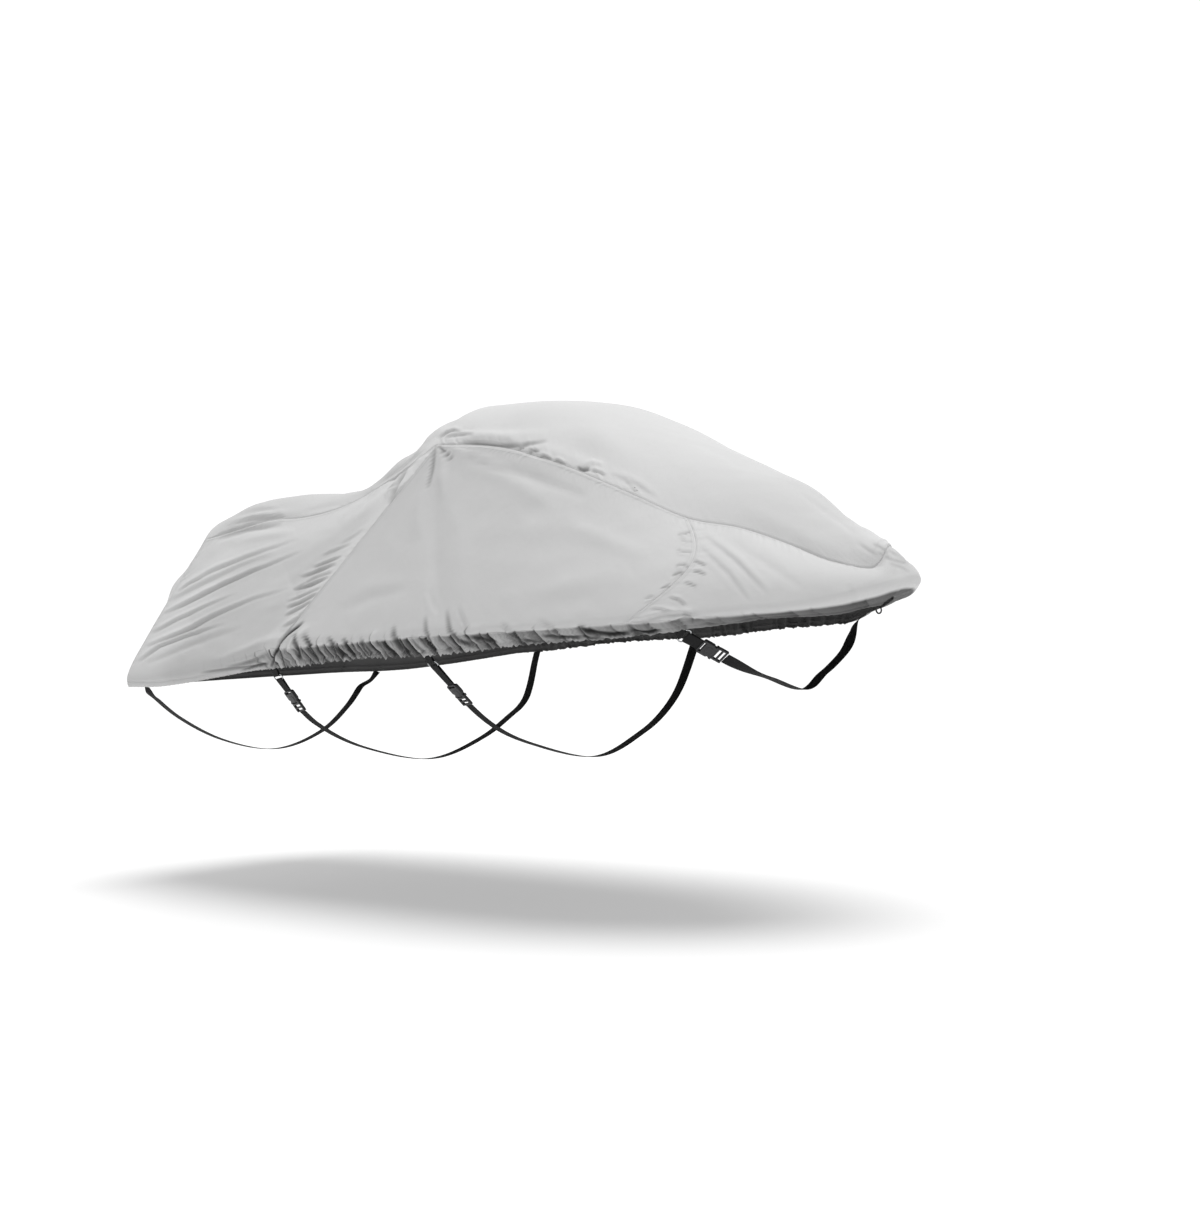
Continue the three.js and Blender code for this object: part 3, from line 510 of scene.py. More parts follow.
class CoverForm:
    """Smooth form of the cover as two surfaces: the side cloth by (station, share down) and the centre panel."""

    PLAN_STEP = 0.05  # stations to each side for the direction of the plan
    NORMAL_STEP = 0.02  # step for the normals along a seam
    SWELL_UP = 0.6  # upward part of the belly's swell for one part outward
    TIP_ROW = NOSE - 0.06  # past this row the narrow tip keeps one normal
    STRAIGHT_ROW = NOSE - 4  # past this row the crown's rise runs straight between its rows

    def __init__(self) -> None:
        """Mirrors the station table past the nose."""
        rows = STATIONS + STATIONS[-2::-1]
        sign = np.where(np.arange(LAST + 1) > NOSE, -1.0, 1.0)
        self.tops = np.array([row.top for row in rows], float)
        self.folds = np.array([row.fold for row in rows], float)
        self.tops[:, 1] *= sign
        self.folds[:, 1] *= sign
        self.sizes = self.columns(rows, "belly", "drop", "inset")
        self.crowns = self.columns(CROWNS, "at", "rise", "aft", "full")

    @staticmethod
    def columns(rows: tuple, *names: str) -> dict[str, Array]:
        """Named values of a table's rows, each as one array."""
        return {name: np.array([getattr(row, name) for row in rows], float) for name in names}

    @staticmethod
    def column(values: Array, q: Array, corners: tuple[int, ...] = ()) -> Array:
        """Cubic through a station column with neighbour slopes, free to turn sharply at the corner stations.

        Args:
            values: one value per station.
            q: stations to read.
            corners: stations where the curve has a corner.

        Returns:
            The column's values there.
        """
        low = np.clip(np.floor(q).astype(int), 0, LAST - 1)
        a, b = values[low], values[low + 1]
        sharp_low = (low == 0) | np.isin(low, corners)
        sharp_high = (low + 1 == LAST) | np.isin(low + 1, corners)
        before = np.where(sharp_low, 2 * a - b, values[np.maximum(low - 1, 0)])
        after = np.where(sharp_high, 2 * b - a, values[np.minimum(low + 2, LAST)])
        return hermite(a, b, (b - before) / 2, (after - a) / 2, q - low)

    def top_seam(self, q: Array) -> Array:
        """Points on the top seam, raised round the tip of the tongue."""
        points = np.stack([self.column(self.tops[:, i], q, (PEAK, LAST - PEAK)) for i in range(3)], -1)
        points[..., 2] += read(TIP_LIFTS, q)
        return points

    def side_fold(self, q: Array) -> Array:
        """Points on the side fold, with the port half of the bow drawn up."""
        points = np.stack([self.column(self.folds[:, i], q) for i in range(3)], -1)
        points[..., 2] += self.port_lift(q, 1)
        return points

    @staticmethod
    def port_lift(q: Array, column: int) -> Array:
        """Height that the port half of the bow is drawn up: column 1 for its fold, column 2 for its tuck."""
        return np.where(q > NOSE, read(PORT_LIFTS, LAST - q, column), 0.0)

    def outward(self, q: Array) -> Array:
        """Outward direction of the plan of the side fold."""
        ahead = self.side_fold(np.clip(q + self.PLAN_STEP, 0, LAST))
        run = ahead - self.side_fold(np.clip(q - self.PLAN_STEP, 0, LAST))
        return unit(np.stack([run[..., 1], -run[..., 0], np.zeros_like(q)], -1))

    def side(self, q: Array, v: Array) -> Array:
        """Side cloth: a straight leg with a bellied swell to the fold, a rounded fold, a straight tuck to the hem.

        Args:
            q: stations.
            v: shares, 0 at the top seam, 1 at the fold and 2 at the hem.

        Returns:
            Points in deck millimetres.
        """
        top, fold, out = self.top_seam(q), self.side_fold(q), self.outward(q)
        hem = fold - out * self.column(self.sizes["inset"], q)[..., None]
        hem[..., 2] += self.port_lift(q, 2) - self.column(self.sizes["drop"], q)
        swell = out.copy()
        swell[..., 2] = self.SWELL_UP
        swell = unit(swell) * self.column(self.sizes["belly"], q)[..., None]

        def leg(t: Array) -> Array:
            """Straight legs of the section with the swell on the upper one."""
            s = np.clip(t, 0, 1)[..., None]
            upper = top + (fold - top) * s + swell * 4 * s * (1 - s)
            return np.where(t[..., None] <= 1, upper, fold + (hem - fold) * (t[..., None] - 1))

        start = 1 - read(FILLETS, mirrored(q)) / np.linalg.norm(fold - top, axis=-1)
        above, under = (v - start) / (1 - start), (v - 1) / (FILLET_END - 1)
        t = np.clip(np.where(v < 1, 0.5 * above, 0.5 + 0.5 * under), 0, 1)[..., None]
        rounded = leg(start) * (1 - t) ** 2 + fold * 2 * t * (1 - t) + leg(np.full_like(q, FILLET_END)) * t * t
        inside = (v > start) & (v < FILLET_END)
        return np.where(inside[..., None], rounded, leg(v))

    def centre_edge(self, row: Array, port: bool) -> Array:
        """Edge of the centre panel: up the tail from -2 to 0, then along the top seam."""
        back = self.side(np.full_like(row, LAST if port else 0), np.clip(-row, 0, 2))
        seam = self.top_seam(np.clip(LAST - row if port else row, 0, LAST))
        return np.where((row < 0)[..., None], back, seam)

    def centre(self, row: Array, across: Array) -> Array:
        """Centre panel: straight between its edges, raised and set back by one minus a power of the share across.

        Args:
            row: place along the edge.
            across: -1 on the starboard edge, 1 on the port edge.

        Returns:
            Points in deck millimetres.
        """
        t = ((across + 1) / 2)[..., None]
        points = self.centre_edge(row, False) * (1 - t) + self.centre_edge(row, True) * t
        at = self.crowns["at"]
        rise, aft, full = (curve_table(row, at, self.crowns[name]) for name in ("rise", "aft", "full"))
        rise = np.where(row > self.STRAIGHT_ROW, np.interp(row, at, self.crowns["rise"]), rise)
        share = 1 - np.abs(across) ** full
        points[..., 2] += rise * share
        points[..., 0] -= aft * share
        return points

    def seam_normal(self, row: Array, port: bool) -> Array:
        """Mean of the two cloths' normals along the edge of the centre panel, by small steps.

        Args:
            row: place along the edge.
            port: whether it is the port edge.

        Returns:
            Unit normals.
        """
        step = self.NORMAL_STEP
        q = np.where(row < 0, LAST if port else 0, LAST - row if port else row).astype(float)
        v = np.clip(-row, 0, 2)
        dq = self.side(np.clip(q + step, 0, LAST), v) - self.side(np.clip(q - step, 0, LAST), v)
        dv = self.side(q, np.clip(v + step, 0, 2)) - self.side(q, np.clip(v - step, 0, 2))
        a = np.full_like(row, 1.0 if port else -1.0)
        inner = np.clip(row, -2, self.TIP_ROW)
        dr = self.centre(np.clip(inner + step, -2, NOSE), a) - self.centre(np.clip(inner - step, -2, NOSE), a)
        da = self.centre(inner, np.clip(a + step, -1, 1)) - self.centre(inner, np.clip(a - step, -1, 1))
        return unit(unit(np.cross(dv, dq)) + unit(np.cross(dr, da)))


class PhotoEye:
    """The camera that the photograph was taken with, in deck metres."""

    place = np.array((5.260, -4.729, 0.0806))
    right = np.array((0.680, 0.731, -0.045))
    up = np.array((0.027, 0.037, 0.999))
    forward = np.array((-0.732, 0.681, -0.005))
    focal = 2240.0
    middle = (600.0, 610.5)
    frame_height = 1221.0
    sensor = 36.0

    @classmethod
    def pixels(cls, points: Array) -> Array:
        """Photograph pixels of points in deck mm: right and down offsets over depth, times the focal length."""
        d = points / PER_METRE - cls.place
        depth = d @ cls.forward
        x = cls.middle[0] + cls.focal * (d @ cls.right) / depth
        y = cls.middle[1] - cls.focal * (d @ cls.up) / depth
        return np.stack([x, y], -1)

    @classmethod
    def facing(cls, points: Array, normals: Array) -> Array:
        """Cosine of the angle between the cloth's normals and the line of sight."""
        return (normals * unit(cls.place * PER_METRE - points)).sum(-1)

    @classmethod
    def camera(cls) -> None:
        """Makes the scene's camera with the photograph's place, roll and angle of view."""
        data = bpy.data.cameras.new("photo_camera")
        data.sensor_fit = "AUTO"
        data.sensor_width = cls.sensor
        data.lens = cls.focal / cls.frame_height * cls.sensor
        right = unit(cls.right)
        back = unit(-cls.forward + right * (right @ cls.forward))
        place = cls.place + np.array((0, 0, LIFT / PER_METRE))
        columns = np.stack([right, np.cross(back, right), back, place], axis=1)
        camera = bpy.data.objects.new("photo_camera", data)
        camera.matrix_world = Matrix([*columns.tolist(), (0, 0, 0, 1)])
        bpy.context.scene.collection.objects.link(camera)
        bpy.context.scene.camera = camera


def crease_lift(creases: tuple[Crease, ...], pixels: Array) -> tuple[Array, Array]:
    """Sum of the creases' lifts and the darkest painted shade of their valleys.

    Args:
        creases: folds by photograph pixels.
        pixels: photograph pixels of the cloth's points.

    Returns:
        Lift in millimetres and painted shade of the valleys, 0 to 1.
    """
    total = np.zeros(pixels.shape[:-1])
    darkness = np.zeros_like(total)
    for crease in creases:
        lift, dark = crease.relief(pixels)
        total += lift
        darkness = np.maximum(darkness, dark)
    return total, darkness


class SeamRelief:
    """Relief of a sewn edge: a groove, then the doubled cloth of the seam allowance, with puckers beside it."""

    base = 0.6
    groove_width = (1.6, 1.1)  # half-width of a groove, and how much it grows with each millimetre of depth
    allowance = 0.45
    allowance_start = (1.5, 4.0)
    allowance_end = (11.0, 14.0)
    pucker_reach = 15.0
    pucker_pitch = 24.0
    pucker_lean = 0.5
    patch_pitch = 210.0
    patch_least = 0.35  # share of the puckers between patches
    patch_edge = (-0.2, 0.5)
    fade_in = 5.0  # distance from the edge over which all of it fades in

    @classmethod
    def groove(cls, distance: Array, depth: Array | float) -> Array:
        """Depth of the groove by the distance from the edge, wider where it is deeper."""
        return depth * bell(distance / (cls.groove_width[0] + cls.groove_width[1] * depth))

    @classmethod
    def rise(cls, distance: Array, along: Array, pucker: Array | float, seed: int) -> Array:
        """Seam allowance and puckers by the distance from the edge and the place along it.

        Args:
            distance: from the sewn edge.
            along: place along the edge.
            pucker: height of the puckers there.
            seed: seed of the puckers' unevenness.

        Returns:
            The rise in millimetres, nothing at the edge itself.
        """
        flat = cls.allowance * smooth(*cls.allowance_start, distance) * (1 - smooth(*cls.allowance_end, distance))
        reach = distance / cls.pucker_reach * np.exp(1 - distance / cls.pucker_reach)
        patch = smooth(*cls.patch_edge, wander(along, cls.patch_pitch, seed + 400))
        patchy = cls.patch_least + (1 - cls.patch_least) * patch
        return flat + pucker * patchy * reach * wander(along + cls.pucker_lean * distance, cls.pucker_pitch, seed)


def grid_quads(ids: Array) -> Array:
    """Quads between the neighbouring rows and columns of a grid of vertex numbers."""
    return np.stack([ids[:-1, :-1], ids[1:, :-1], ids[1:, 1:], ids[:-1, 1:]], -1).reshape(-1, 4)


def mesh_from(name: str, points: Array, *blocks: Array) -> Mesh:
    """Mesh from points in metres and blocks of faces, shaded smooth.

    Args:
        name: mesh name.
        points: vertices.
        blocks: faces as rows of vertex numbers, each block with one count of corners.

    Returns:
        The mesh.
    """
    corners = np.concatenate([block.ravel() for block in blocks])
    sizes = np.concatenate([np.full(len(block), block.shape[1]) for block in blocks])
    mesh = bpy.data.meshes.new(name)
    mesh.vertices.add(len(points))
    mesh.vertices.foreach_set("co", points.astype(np.float32).ravel())
    mesh.loops.add(len(corners))
    mesh.loops.foreach_set("vertex_index", corners.astype(np.int32))
    mesh.polygons.add(len(sizes))
    mesh.polygons.foreach_set("loop_start", (np.cumsum(sizes) - sizes).astype(np.int32))
    mesh.polygons.foreach_set("use_smooth", np.ones(len(sizes), bool))
    mesh.update(calc_edges=True)
    mesh.validate()
    return mesh


def turned_outward(mesh: Mesh) -> Mesh:
    """The mesh with its faces turned outward."""
    work = bmesh.new()
    work.from_mesh(mesh)
    bmesh.ops.recalc_face_normals(work, faces=work.faces)
    work.to_mesh(mesh)
    work.free()
    return mesh


def swept_mesh(name: str, rings: Array) -> Mesh:
    """Closed skin over a row of rings, with a fan to a middle point at each end.

    Args:
        name: mesh name.
        rings: points by (ring, side), in metres.

    Returns:
        The mesh, its faces turned outward.
    """
    n, m = rings.shape[:2]
    ids = np.arange(n * m).reshape(n, m)
    wrapped = np.concatenate([ids, ids[:, :1]], axis=1)
    points = np.concatenate([rings.reshape(-1, 3), rings[0].mean(0)[None], rings[-1].mean(0)[None]])
    ends = enumerate((wrapped[0], wrapped[-1, ::-1]))
    fans = [np.stack([ring[1:], ring[:-1], np.full(m, n * m + end)], -1) for end, ring in ends]
    return turned_outward(mesh_from(name, points, grid_quads(wrapped), *fans))


def looped_mesh(name: str, rings: Array) -> Mesh:
    """Closed skin over rings that run round in a loop."""
    ids = np.arange(rings.shape[0] * rings.shape[1]).reshape(rings.shape[:2])
    wrapped = np.pad(ids, ((0, 1), (0, 1)), mode="wrap")
    return turned_outward(mesh_from(name, rings.reshape(-1, 3), grid_quads(wrapped)))


def joined(name: str, meshes: list[Mesh]) -> Mesh:
    """One mesh from several."""
    work = bmesh.new()
    for mesh in meshes:
        work.from_mesh(mesh)
    whole = bpy.data.meshes.new(name)
    work.to_mesh(whole)
    work.free()
    for mesh in meshes:
        bpy.data.meshes.remove(mesh)
    return whole


def add_map(mesh: Mesh, label: str, values: Array) -> None:
    """Adds a coordinate map from one value pair per vertex."""
    corner = np.empty(len(mesh.loops), np.int32)
    mesh.loops.foreach_get("vertex_index", corner)
    layer = mesh.uv_layers.new(name=label)
    layer.data.foreach_set("uv", values[corner].astype(np.float32).ravel())


def piece(name: str, mesh: Mesh) -> Object:
    """Object of a mesh, in the scene, riding on the one body."""
    obj = bpy.data.objects.new(name, mesh)
    bpy.context.scene.collection.objects.link(obj)
    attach(obj, "root")
    return obj


def dress(obj: Object, finish: Material, node: str) -> None:
    """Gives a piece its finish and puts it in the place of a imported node.

    Args:
        obj: the piece.
        finish: its material.
        node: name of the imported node.
    """
    obj.data.materials.append(finish)
    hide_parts(node)
    LOG.info("%s: %d faces", obj.name, len(obj.data.polygons))


@dataclass
class ClothSheet:
    """A sheet of cloth on a grid, made into a thin closed mesh.

    Its fields are the outer points in deck millimetres, their normals, the distance to the nearest sewn edge and the
    place along it in millimetres, how much painted shade darkens the cloth and how much elastic draws it in, both 0 to
    1.
    """

    name: str
    outer: Array
    normals: Array
    edge: Array
    along: Array
    shade: Array
    drawn: Array

    # painted shade over the whole inner face, the shade inside the cover
    INSIDE_SHADE = 0.85
    LEAST_FILL = 0.31  # least share of its flat size that a cut fills

    def build(self, flip: bool, merge: bool) -> Object:
        """Closed mesh: outer grid, inner grid one thickness in, and a wall round the rim.

        Args:
            flip: whether the grid's faces turn the other way.
            merge: whether a pole is closed by merging its points.

        Returns:
            The object, at the origin, with two coordinate maps: the cut and the nearest seam.
        """
        n, m = self.outer.shape[:2]
        inner = self.outer - self.normals * CLOTH
        points = np.concatenate([self.outer.reshape(-1, 3), inner.reshape(-1, 3)])
        points[:, 2] += LIFT
        ids = np.arange(n * m).reshape(n, m)
        quads = grid_quads(ids)
        loop = np.concatenate([ids[:, 0], ids[-1, 1:], ids[-2::-1, -1], ids[0, -2:0:-1]])
        following = np.roll(loop, -1)
        rim = np.stack([following, loop, loop + n * m, following + n * m], -1)
        faces = np.concatenate([quads, quads[:, ::-1] + n * m, rim])
        mesh = mesh_from(self.name, points / PER_METRE, faces[:, ::-1] if flip else faces)
        cut = np.stack([travelled(self.outer, 0), travelled(self.outer, 1)], -1).reshape(-1, 2)
        seam = np.stack([self.along, self.edge], -1).reshape(-1, 2)
        for label, values in (("cut", cut), ("seam", seam)):
            add_map(mesh, label, np.concatenate([values, values]) / PER_METRE)
        for label, outside, inside in (("shade", self.shade, self.INSIDE_SHADE), ("drawn", self.drawn, 0.0)):
            values = np.concatenate([outside.ravel(), np.full(n * m, inside)]).astype(np.float32)
            mesh.attributes.new(label, "FLOAT", "POINT").data.foreach_set("value", values)
        if merge:
            work = bmesh.new()
            work.from_mesh(mesh)
            bmesh.ops.remove_doubles(work, verts=work.verts, dist=1e-5)
            bmesh.ops.dissolve_degenerate(work, edges=work.edges, dist=1e-6)
            work.to_mesh(mesh)
            work.free()
        return piece(self.name, mesh)

    def declare(self) -> None:
        length = float(travelled(self.outer, 0)[-1].max()) / PER_METRE
        width = float(travelled(self.outer, 1)[:, -1].max()) / PER_METRE


@dataclass(frozen=True)
class HemGathers:
    """Pleats that the elastic draws in: round puffs between sharp leaning slits, uneven in pitch, depth and reach, with
    painted shade in the slits and across each pleat.
    """

    seed: int

    PITCHES = (0.45, 0.7, 0.95, 1.2, 1.5)  # choices of a pleat's share of the pitch, and how much that varies
    PITCH_VARIES = (0.85, 1.15)
    DEPTH_VARIES = (0.4, 1.3)
    TOPS = (0.95, 0.975, 0.985, 1.0)  # choices of the share down where a pleat begins, and how much that varies
    TOP_VARIES = (-0.006, 0.006)
    DARKS = (0.25, 0.6, 0.9, 1.0)  # choices of the painted shade in a slit
    TONES = (0.3, 1.15)  # least and most painted shade of a pleat
    TONE_TURN = 0.6  # how much the painted shade of a pleat deepens toward its far slit
    LEAN = (0.55, 0.3, 110.0)  # lean of the slits, its unevenness and the pitch of that
    LEAN_TOP = -8.0  # distance below the fold where the lean starts
    WIGGLE = (2.5, 50.0)  # sideways wave of the slits and its pitch
    ROUND = 0.7  # power of the half sine of a puff
    BEGIN = 0.06  # share down over which a pleat rises
    SLIT = (2.8, 7.0)  # half-width of a slit at the fold, and how much wider it gets down the tuck
    SINK = (0.55, 0.5)  # shares of the mean depth that the whole tuck and its slits sink
    SINK_AT = (0.96, 1.04)
    FINE = (0.9, 11.0, 6.0)  # height and pitch of the fine crinkles, and the pleat depth where they are full
    FINE_AT = (1.0, 1.1)
    DEEP = 5.0  # pleat depth where the painted shade in the slits is full

    def slits(self, run: Array, station: Array) -> tuple[Array, Array]:
        """Places of the slits along the hem, at uneven pitch, and the pleat depth at each."""
        rng = np.random.default_rng(self.seed)
        places, depths = [run[0]], []
        while places[-1] < run[-1]:
            here = float(np.interp(places[-1], run, station))
            pitch = float(read(GATHERS, here, 1)) * rng.choice(self.PITCHES)
            places.append(places[-1] + pitch * rng.uniform(*self.PITCH_VARIES))
            depths.append(float(read(GATHERS, here, 2)) * rng.uniform(*self.DEPTH_VARIES))
        return np.array(places), np.array(depths)

    def lift(self, grid: SideGrid) -> tuple[Array, Array, Array]:
        """Puffs as a low power of the half sine of the phase between two slits, each from its own height down.

        Args:
            grid: the panel's grid.

        Returns:
            Lift in millimetres, the painted shade of the slits, 0 to 1, and each pleat's factor on the painted shade,
            near 1.
        """
        v, run = grid.v, grid.run
        rng = np.random.default_rng(self.seed + 1)
        places, depths = self.slits(run[:, 0], grid.station[:, -1])
        count = len(depths)
        tops = rng.choice(self.TOPS, count) + rng.uniform(*self.TOP_VARIES, count)
        darks = rng.choice(self.DARKS, count)
        tones = rng.uniform(*self.TONES, count)
        (steep, uneven, pitch), (wave, wave_pitch) = self.LEAN, self.WIGGLE
        lean = (steep + uneven * wander(run, pitch, self.seed + 2)) * (-1.0 if grid.port else 1.0)
        slide = lean * np.maximum(grid.below, self.LEAN_TOP)
        slide += wave * wander(grid.below + run, wave_pitch, self.seed + 4)
        shifted = np.clip(run - slide, places[0], places[-1] - 1e-6)
        number = np.clip(np.searchsorted(places, shifted, side="right") - 1, 0, count - 1)
        width = places[number + 1] - places[number]
        phase = (shifted - places[number]) / width
        puff = np.sin(np.pi * phase) ** self.ROUND * smooth(tops[number], tops[number] + self.BEGIN, v)
        near = np.minimum(phase, 1 - phase) * width
        close = np.where(phase < 0.5, number, np.minimum(number + 1, count - 1))
        slit = bell(near / (self.SLIT[0] + self.SLIT[1] * np.clip(v - 1, 0, 0.5)))
        slit *= smooth(tops[close], tops[close] + self.BEGIN, v)
        mean = np.interp(shifted, places[:-1], depths)
        sunk = mean * (self.SINK[0] * smooth(*self.SINK_AT, v) + self.SINK[1] * slit)
        height, pitch, full = self.FINE
        fine = height * wander(shifted, pitch, self.seed + 6) * np.clip(mean / full, 0, 1) * smooth(*self.FINE_AT, v)
        deep = np.clip(mean / self.DEEP, 0, 1) * darks[close]
        return depths[number] * puff - sunk + fine, slit * deep, tones[number] + self.TONE_TURN * phase**2


@dataclass
class SideGrid:
    """Grid of a side panel: stations, shares down and smooth points, with distances over the cut in millimetres."""

    q: Array
    v: Array
    base: Array

    def __post_init__(self) -> None:
        """Measures from the first seam, to the last, down from the top seam, to the hem, and from the side fold."""
        self.across, self.down = travelled(self.base, 0), travelled(self.base, 1)
        self.to_end = self.across[-1:] - self.across
        self.to_hem = self.down[:, -1:] - self.down
        self.to_side = np.minimum(self.across, self.to_end)
        self.near = np.minimum(self.to_side, self.down)
        self.station = mirrored(self.q)
        self.port = bool(self.q.mean() > NOSE)
        fold = int(np.argmin(np.abs(self.v[0] - 1.0)))
        self.run = np.repeat(self.across[:, fold : fold + 1], self.v.shape[1], axis=1)
        self.below = self.down - self.down[:, fold : fold + 1]
        self.ends = ((self.q[0, 0], self.across), (self.q[-1, 0], self.to_end))


class ClothPanel:
    """What all panels share: the hem's casing, the fading at sewn edges and the waviness of slack cloth."""

    seed: int

    CASING = 20.0  # height of the hem's elastic casing
    CASING_ROUND = 1.8
    CASING_STITCH = (1.6, 2.5)  # depth and half-width of the stitched groove above it
    CASING_IN = 6.0  # distance from a seam over which the casing fades in
    FREE = 14.0  # distance from a sewn edge over which folds fade in
    BLEND = 8.0  # distance from a sewn edge over which normals turn to the mean of both cloths
    WAVE_HEIGHTS = (3.0, 1.2)
    WAVES = ((0.6, 310), (-0.4, 260), (0.8, 130), (0.3, 170))  # slant and pitch of each wave
    TIP_TUCKED = (40.0, NOSE - 0.55, NOSE - 0.3)  # distance added to the seam's map at the tucked tip

    def casing(self, to_hem: Array) -> Array:
        """Rounded casing of the elastic along the hem with a stitched groove above it."""
        depth, width = self.CASING_STITCH
        round_ = self.CASING_ROUND * np.sin(np.pi * np.clip(to_hem / self.CASING, 0, 1))
        return round_ - depth * bell((to_hem - self.CASING) / width)

    def waviness(self, a: Array, b: Array) -> Array:
        """Soft unevenness of slack cloth: two products of long waves in two slanted directions.

        Args:
            a: distance along the first grid axis.
            b: distance along the second.

        Returns:
            The lift in millimetres.
        """
        (s0, p0), (s1, p1), (s2, p2), (s3, p3) = self.WAVES
        broad = wander(a + s0 * b, p0, self.seed + 5) * wander(b + s1 * a, p1, self.seed + 6)
        short = wander(s2 * a - b, p2, self.seed + 7) * wander(b + s3 * a, p3, self.seed + 8)
        return self.WAVE_HEIGHTS[0] * broad + self.WAVE_HEIGHTS[1] * short

    def turned(self, normals: Array, mean: Array, distance: Array) -> Array:
        """Normals turned to a seam's mean normal by a bell over the distance from it."""
        weight = bell(distance / self.BLEND)[..., None]
        return normals * (1 - weight) + mean * weight

    def hidden(self, near: Array, station: Array) -> Array:
        """Distance to the nearest sewn edge for the seam's map, pushed away where the tip's seam is tucked."""
        push, low, high = self.TIP_TUCKED
        return near + push * smooth(low, high, station)


@dataclass
class SidePanel(ClothPanel):
    """One side panel between two seams."""

    name: str
    start: int
    end: int
    columns: int
    rows: int
    creases: tuple[Crease, ...]
    seed: int
    pucker: float
    row_shares: Table = ((0, 0), (0.09, 0.03), (0.46, 0.75), (0.84, 1.25), (1, 2))
    column_shares: Table = ((0, 0), (0.04, 0.012), (0.96, 0.988), (1, 1))

    SEEN = (-0.06, 0.1)  # cosines of sight between which creases fade in
    CREASE_END = (1.6, 2.0)  # shares down between which creases fade out, then their painted shade and the long folds
    DARK_END = (1.75, 2.0)
    FOLD_END = (0.9, 1.1)
    RAGGED = 6.0  # unevenness of the gathered hem's edge, its pitch, its least share and its share on the port half
    RAGGED_PITCH = 23.0
    RAGGED_LEAST = 0.2
    RAGGED_PORT = 0.4
    RAGGED_FROM = (1.55, 2.0)
    GROOVE_DARK = 5.0  # half-width of the painted shade in the peak seam's groove
    REAR_SHADE_AT = ((0.6, 1.9), (4.2, 5.0), (0.05, 0.4))  # stations where it starts and ends, shares where it starts
    NOSE_SHADE_AT = ((10.5, 13.0), (0.5, 0.9))  # stations where it starts, shares where it ends

    @staticmethod
    def seam_station(station: int, v: Array) -> Array:
        """Station of a seam at each share down: the bow seams swing forward between their ends."""
        swing = BOW_SEAM_SWING * np.sin(np.pi * np.clip(v, 0, 1) ** 0.85)
        if station == BOW_SEAM:
            return station + swing
        return station - swing if station == LAST - BOW_SEAM else np.full_like(v, station)

    def grid(self, form: CoverForm) -> SideGrid:
        """Smooth grid between the two seams."""
        t_line = read(self.column_shares, np.linspace(0, 1, self.columns + 1))
        v_line = read(self.row_shares, np.linspace(0, 1, self.rows + 1))
        t, v = np.meshgrid(t_line, v_line, indexing="ij")
        q = self.seam_station(self.start, v) * (1 - t) + self.seam_station(self.end, v) * t
        return SideGrid(q, v, form.side(q, v))

    def build(self, form: CoverForm) -> Object:
        """Smooth grid, then seam relief, pleats, creases, casing and a soft waviness along the normals.

        Args:
            form: the cover's smooth form.

        Returns:
            The panel.
        """
        grid = self.grid(form)
        v = grid.v
        normals = self.seam_normals(form, grid)
        free, ends = smooth(0.0, self.FREE, grid.near), smooth(0.0, self.FREE, grid.to_side)
        lift = SeamRelief.rise(grid.down, grid.across, self.pucker, self.seed)
        lift += SeamRelief.rise(grid.across, grid.down, self.pucker, self.seed + 1)
        lift += SeamRelief.rise(grid.to_end, grid.down, self.pucker, self.seed + 2)
        lift *= smooth(0.0, SeamRelief.fade_in, grid.near)
        groove, dark = self.grooves(grid)
        gathers, slit, pleat = HemGathers(self.seed + 3).lift(grid)
        lift += gathers * ends - groove
        if self.creases:
            seen = smooth(*self.SEEN, PhotoEye.facing(grid.base, normals))
            creased, valley = (seen * part for part in crease_lift(self.creases, PhotoEye.pixels(grid.base)))
            lift += creased * free * (1 - smooth(*self.CREASE_END, v))
            dark = np.maximum(dark, valley * (1 - smooth(*self.DARK_END, v)))
        folds = sum(fold.lift(grid.q, v) for fold in STATION_FOLDS)
        lift += folds * free * (1 - smooth(*self.FOLD_END, v))
        lift += self.waviness(grid.across, grid.down) * free
        lift += self.casing(grid.to_hem) * smooth(0.0, self.CASING_IN, grid.to_side)
        outer = grid.base + normals * lift[..., None]
        drawn = self.drawn(grid)
        ragged = np.where(grid.q > NOSE, self.RAGGED_PORT, 1.0) * self.RAGGED * np.maximum(drawn, self.RAGGED_LEAST)
        ragged *= wander(grid.run, self.RAGGED_PITCH, self.seed + 9)
        outer[..., 2] += ragged * smooth(*self.RAGGED_FROM, v) * ends
        along = np.where(grid.down <= grid.to_side, grid.across, grid.down)
        # painted shade: the tuck, pleats, rear and nose, then the slits, crease valleys and the peak seam's groove
        shade = self.tones(grid, drawn, pleat)
        shade = np.clip(shade + (1 - shade) * np.maximum(dark, slit * ends), 0, 1)
        final = self.grid_normals(outer)
        sheet = ClothSheet(self.name, outer, final, self.hidden(grid.near, grid.station), along, shade, drawn)
        obj = sheet.build(flip=True, merge=False)
        sheet.declare()
        return obj

    @staticmethod
    def grid_normals(points: Array) -> Array:
        """Outward normals of a grid, square to its two directions."""
        return unit(np.cross(np.gradient(points, axis=1), np.gradient(points, axis=0)))

    @staticmethod
    def drawn(grid: SideGrid) -> Array:
        """How much the elastic draws the cloth in, 0 to 1, below the fold."""
        most = max(depth for _, _, depth in GATHERS)
        return read(GATHERS, grid.station, 2) / most * smooth(*DRAWN_FROM, grid.v)

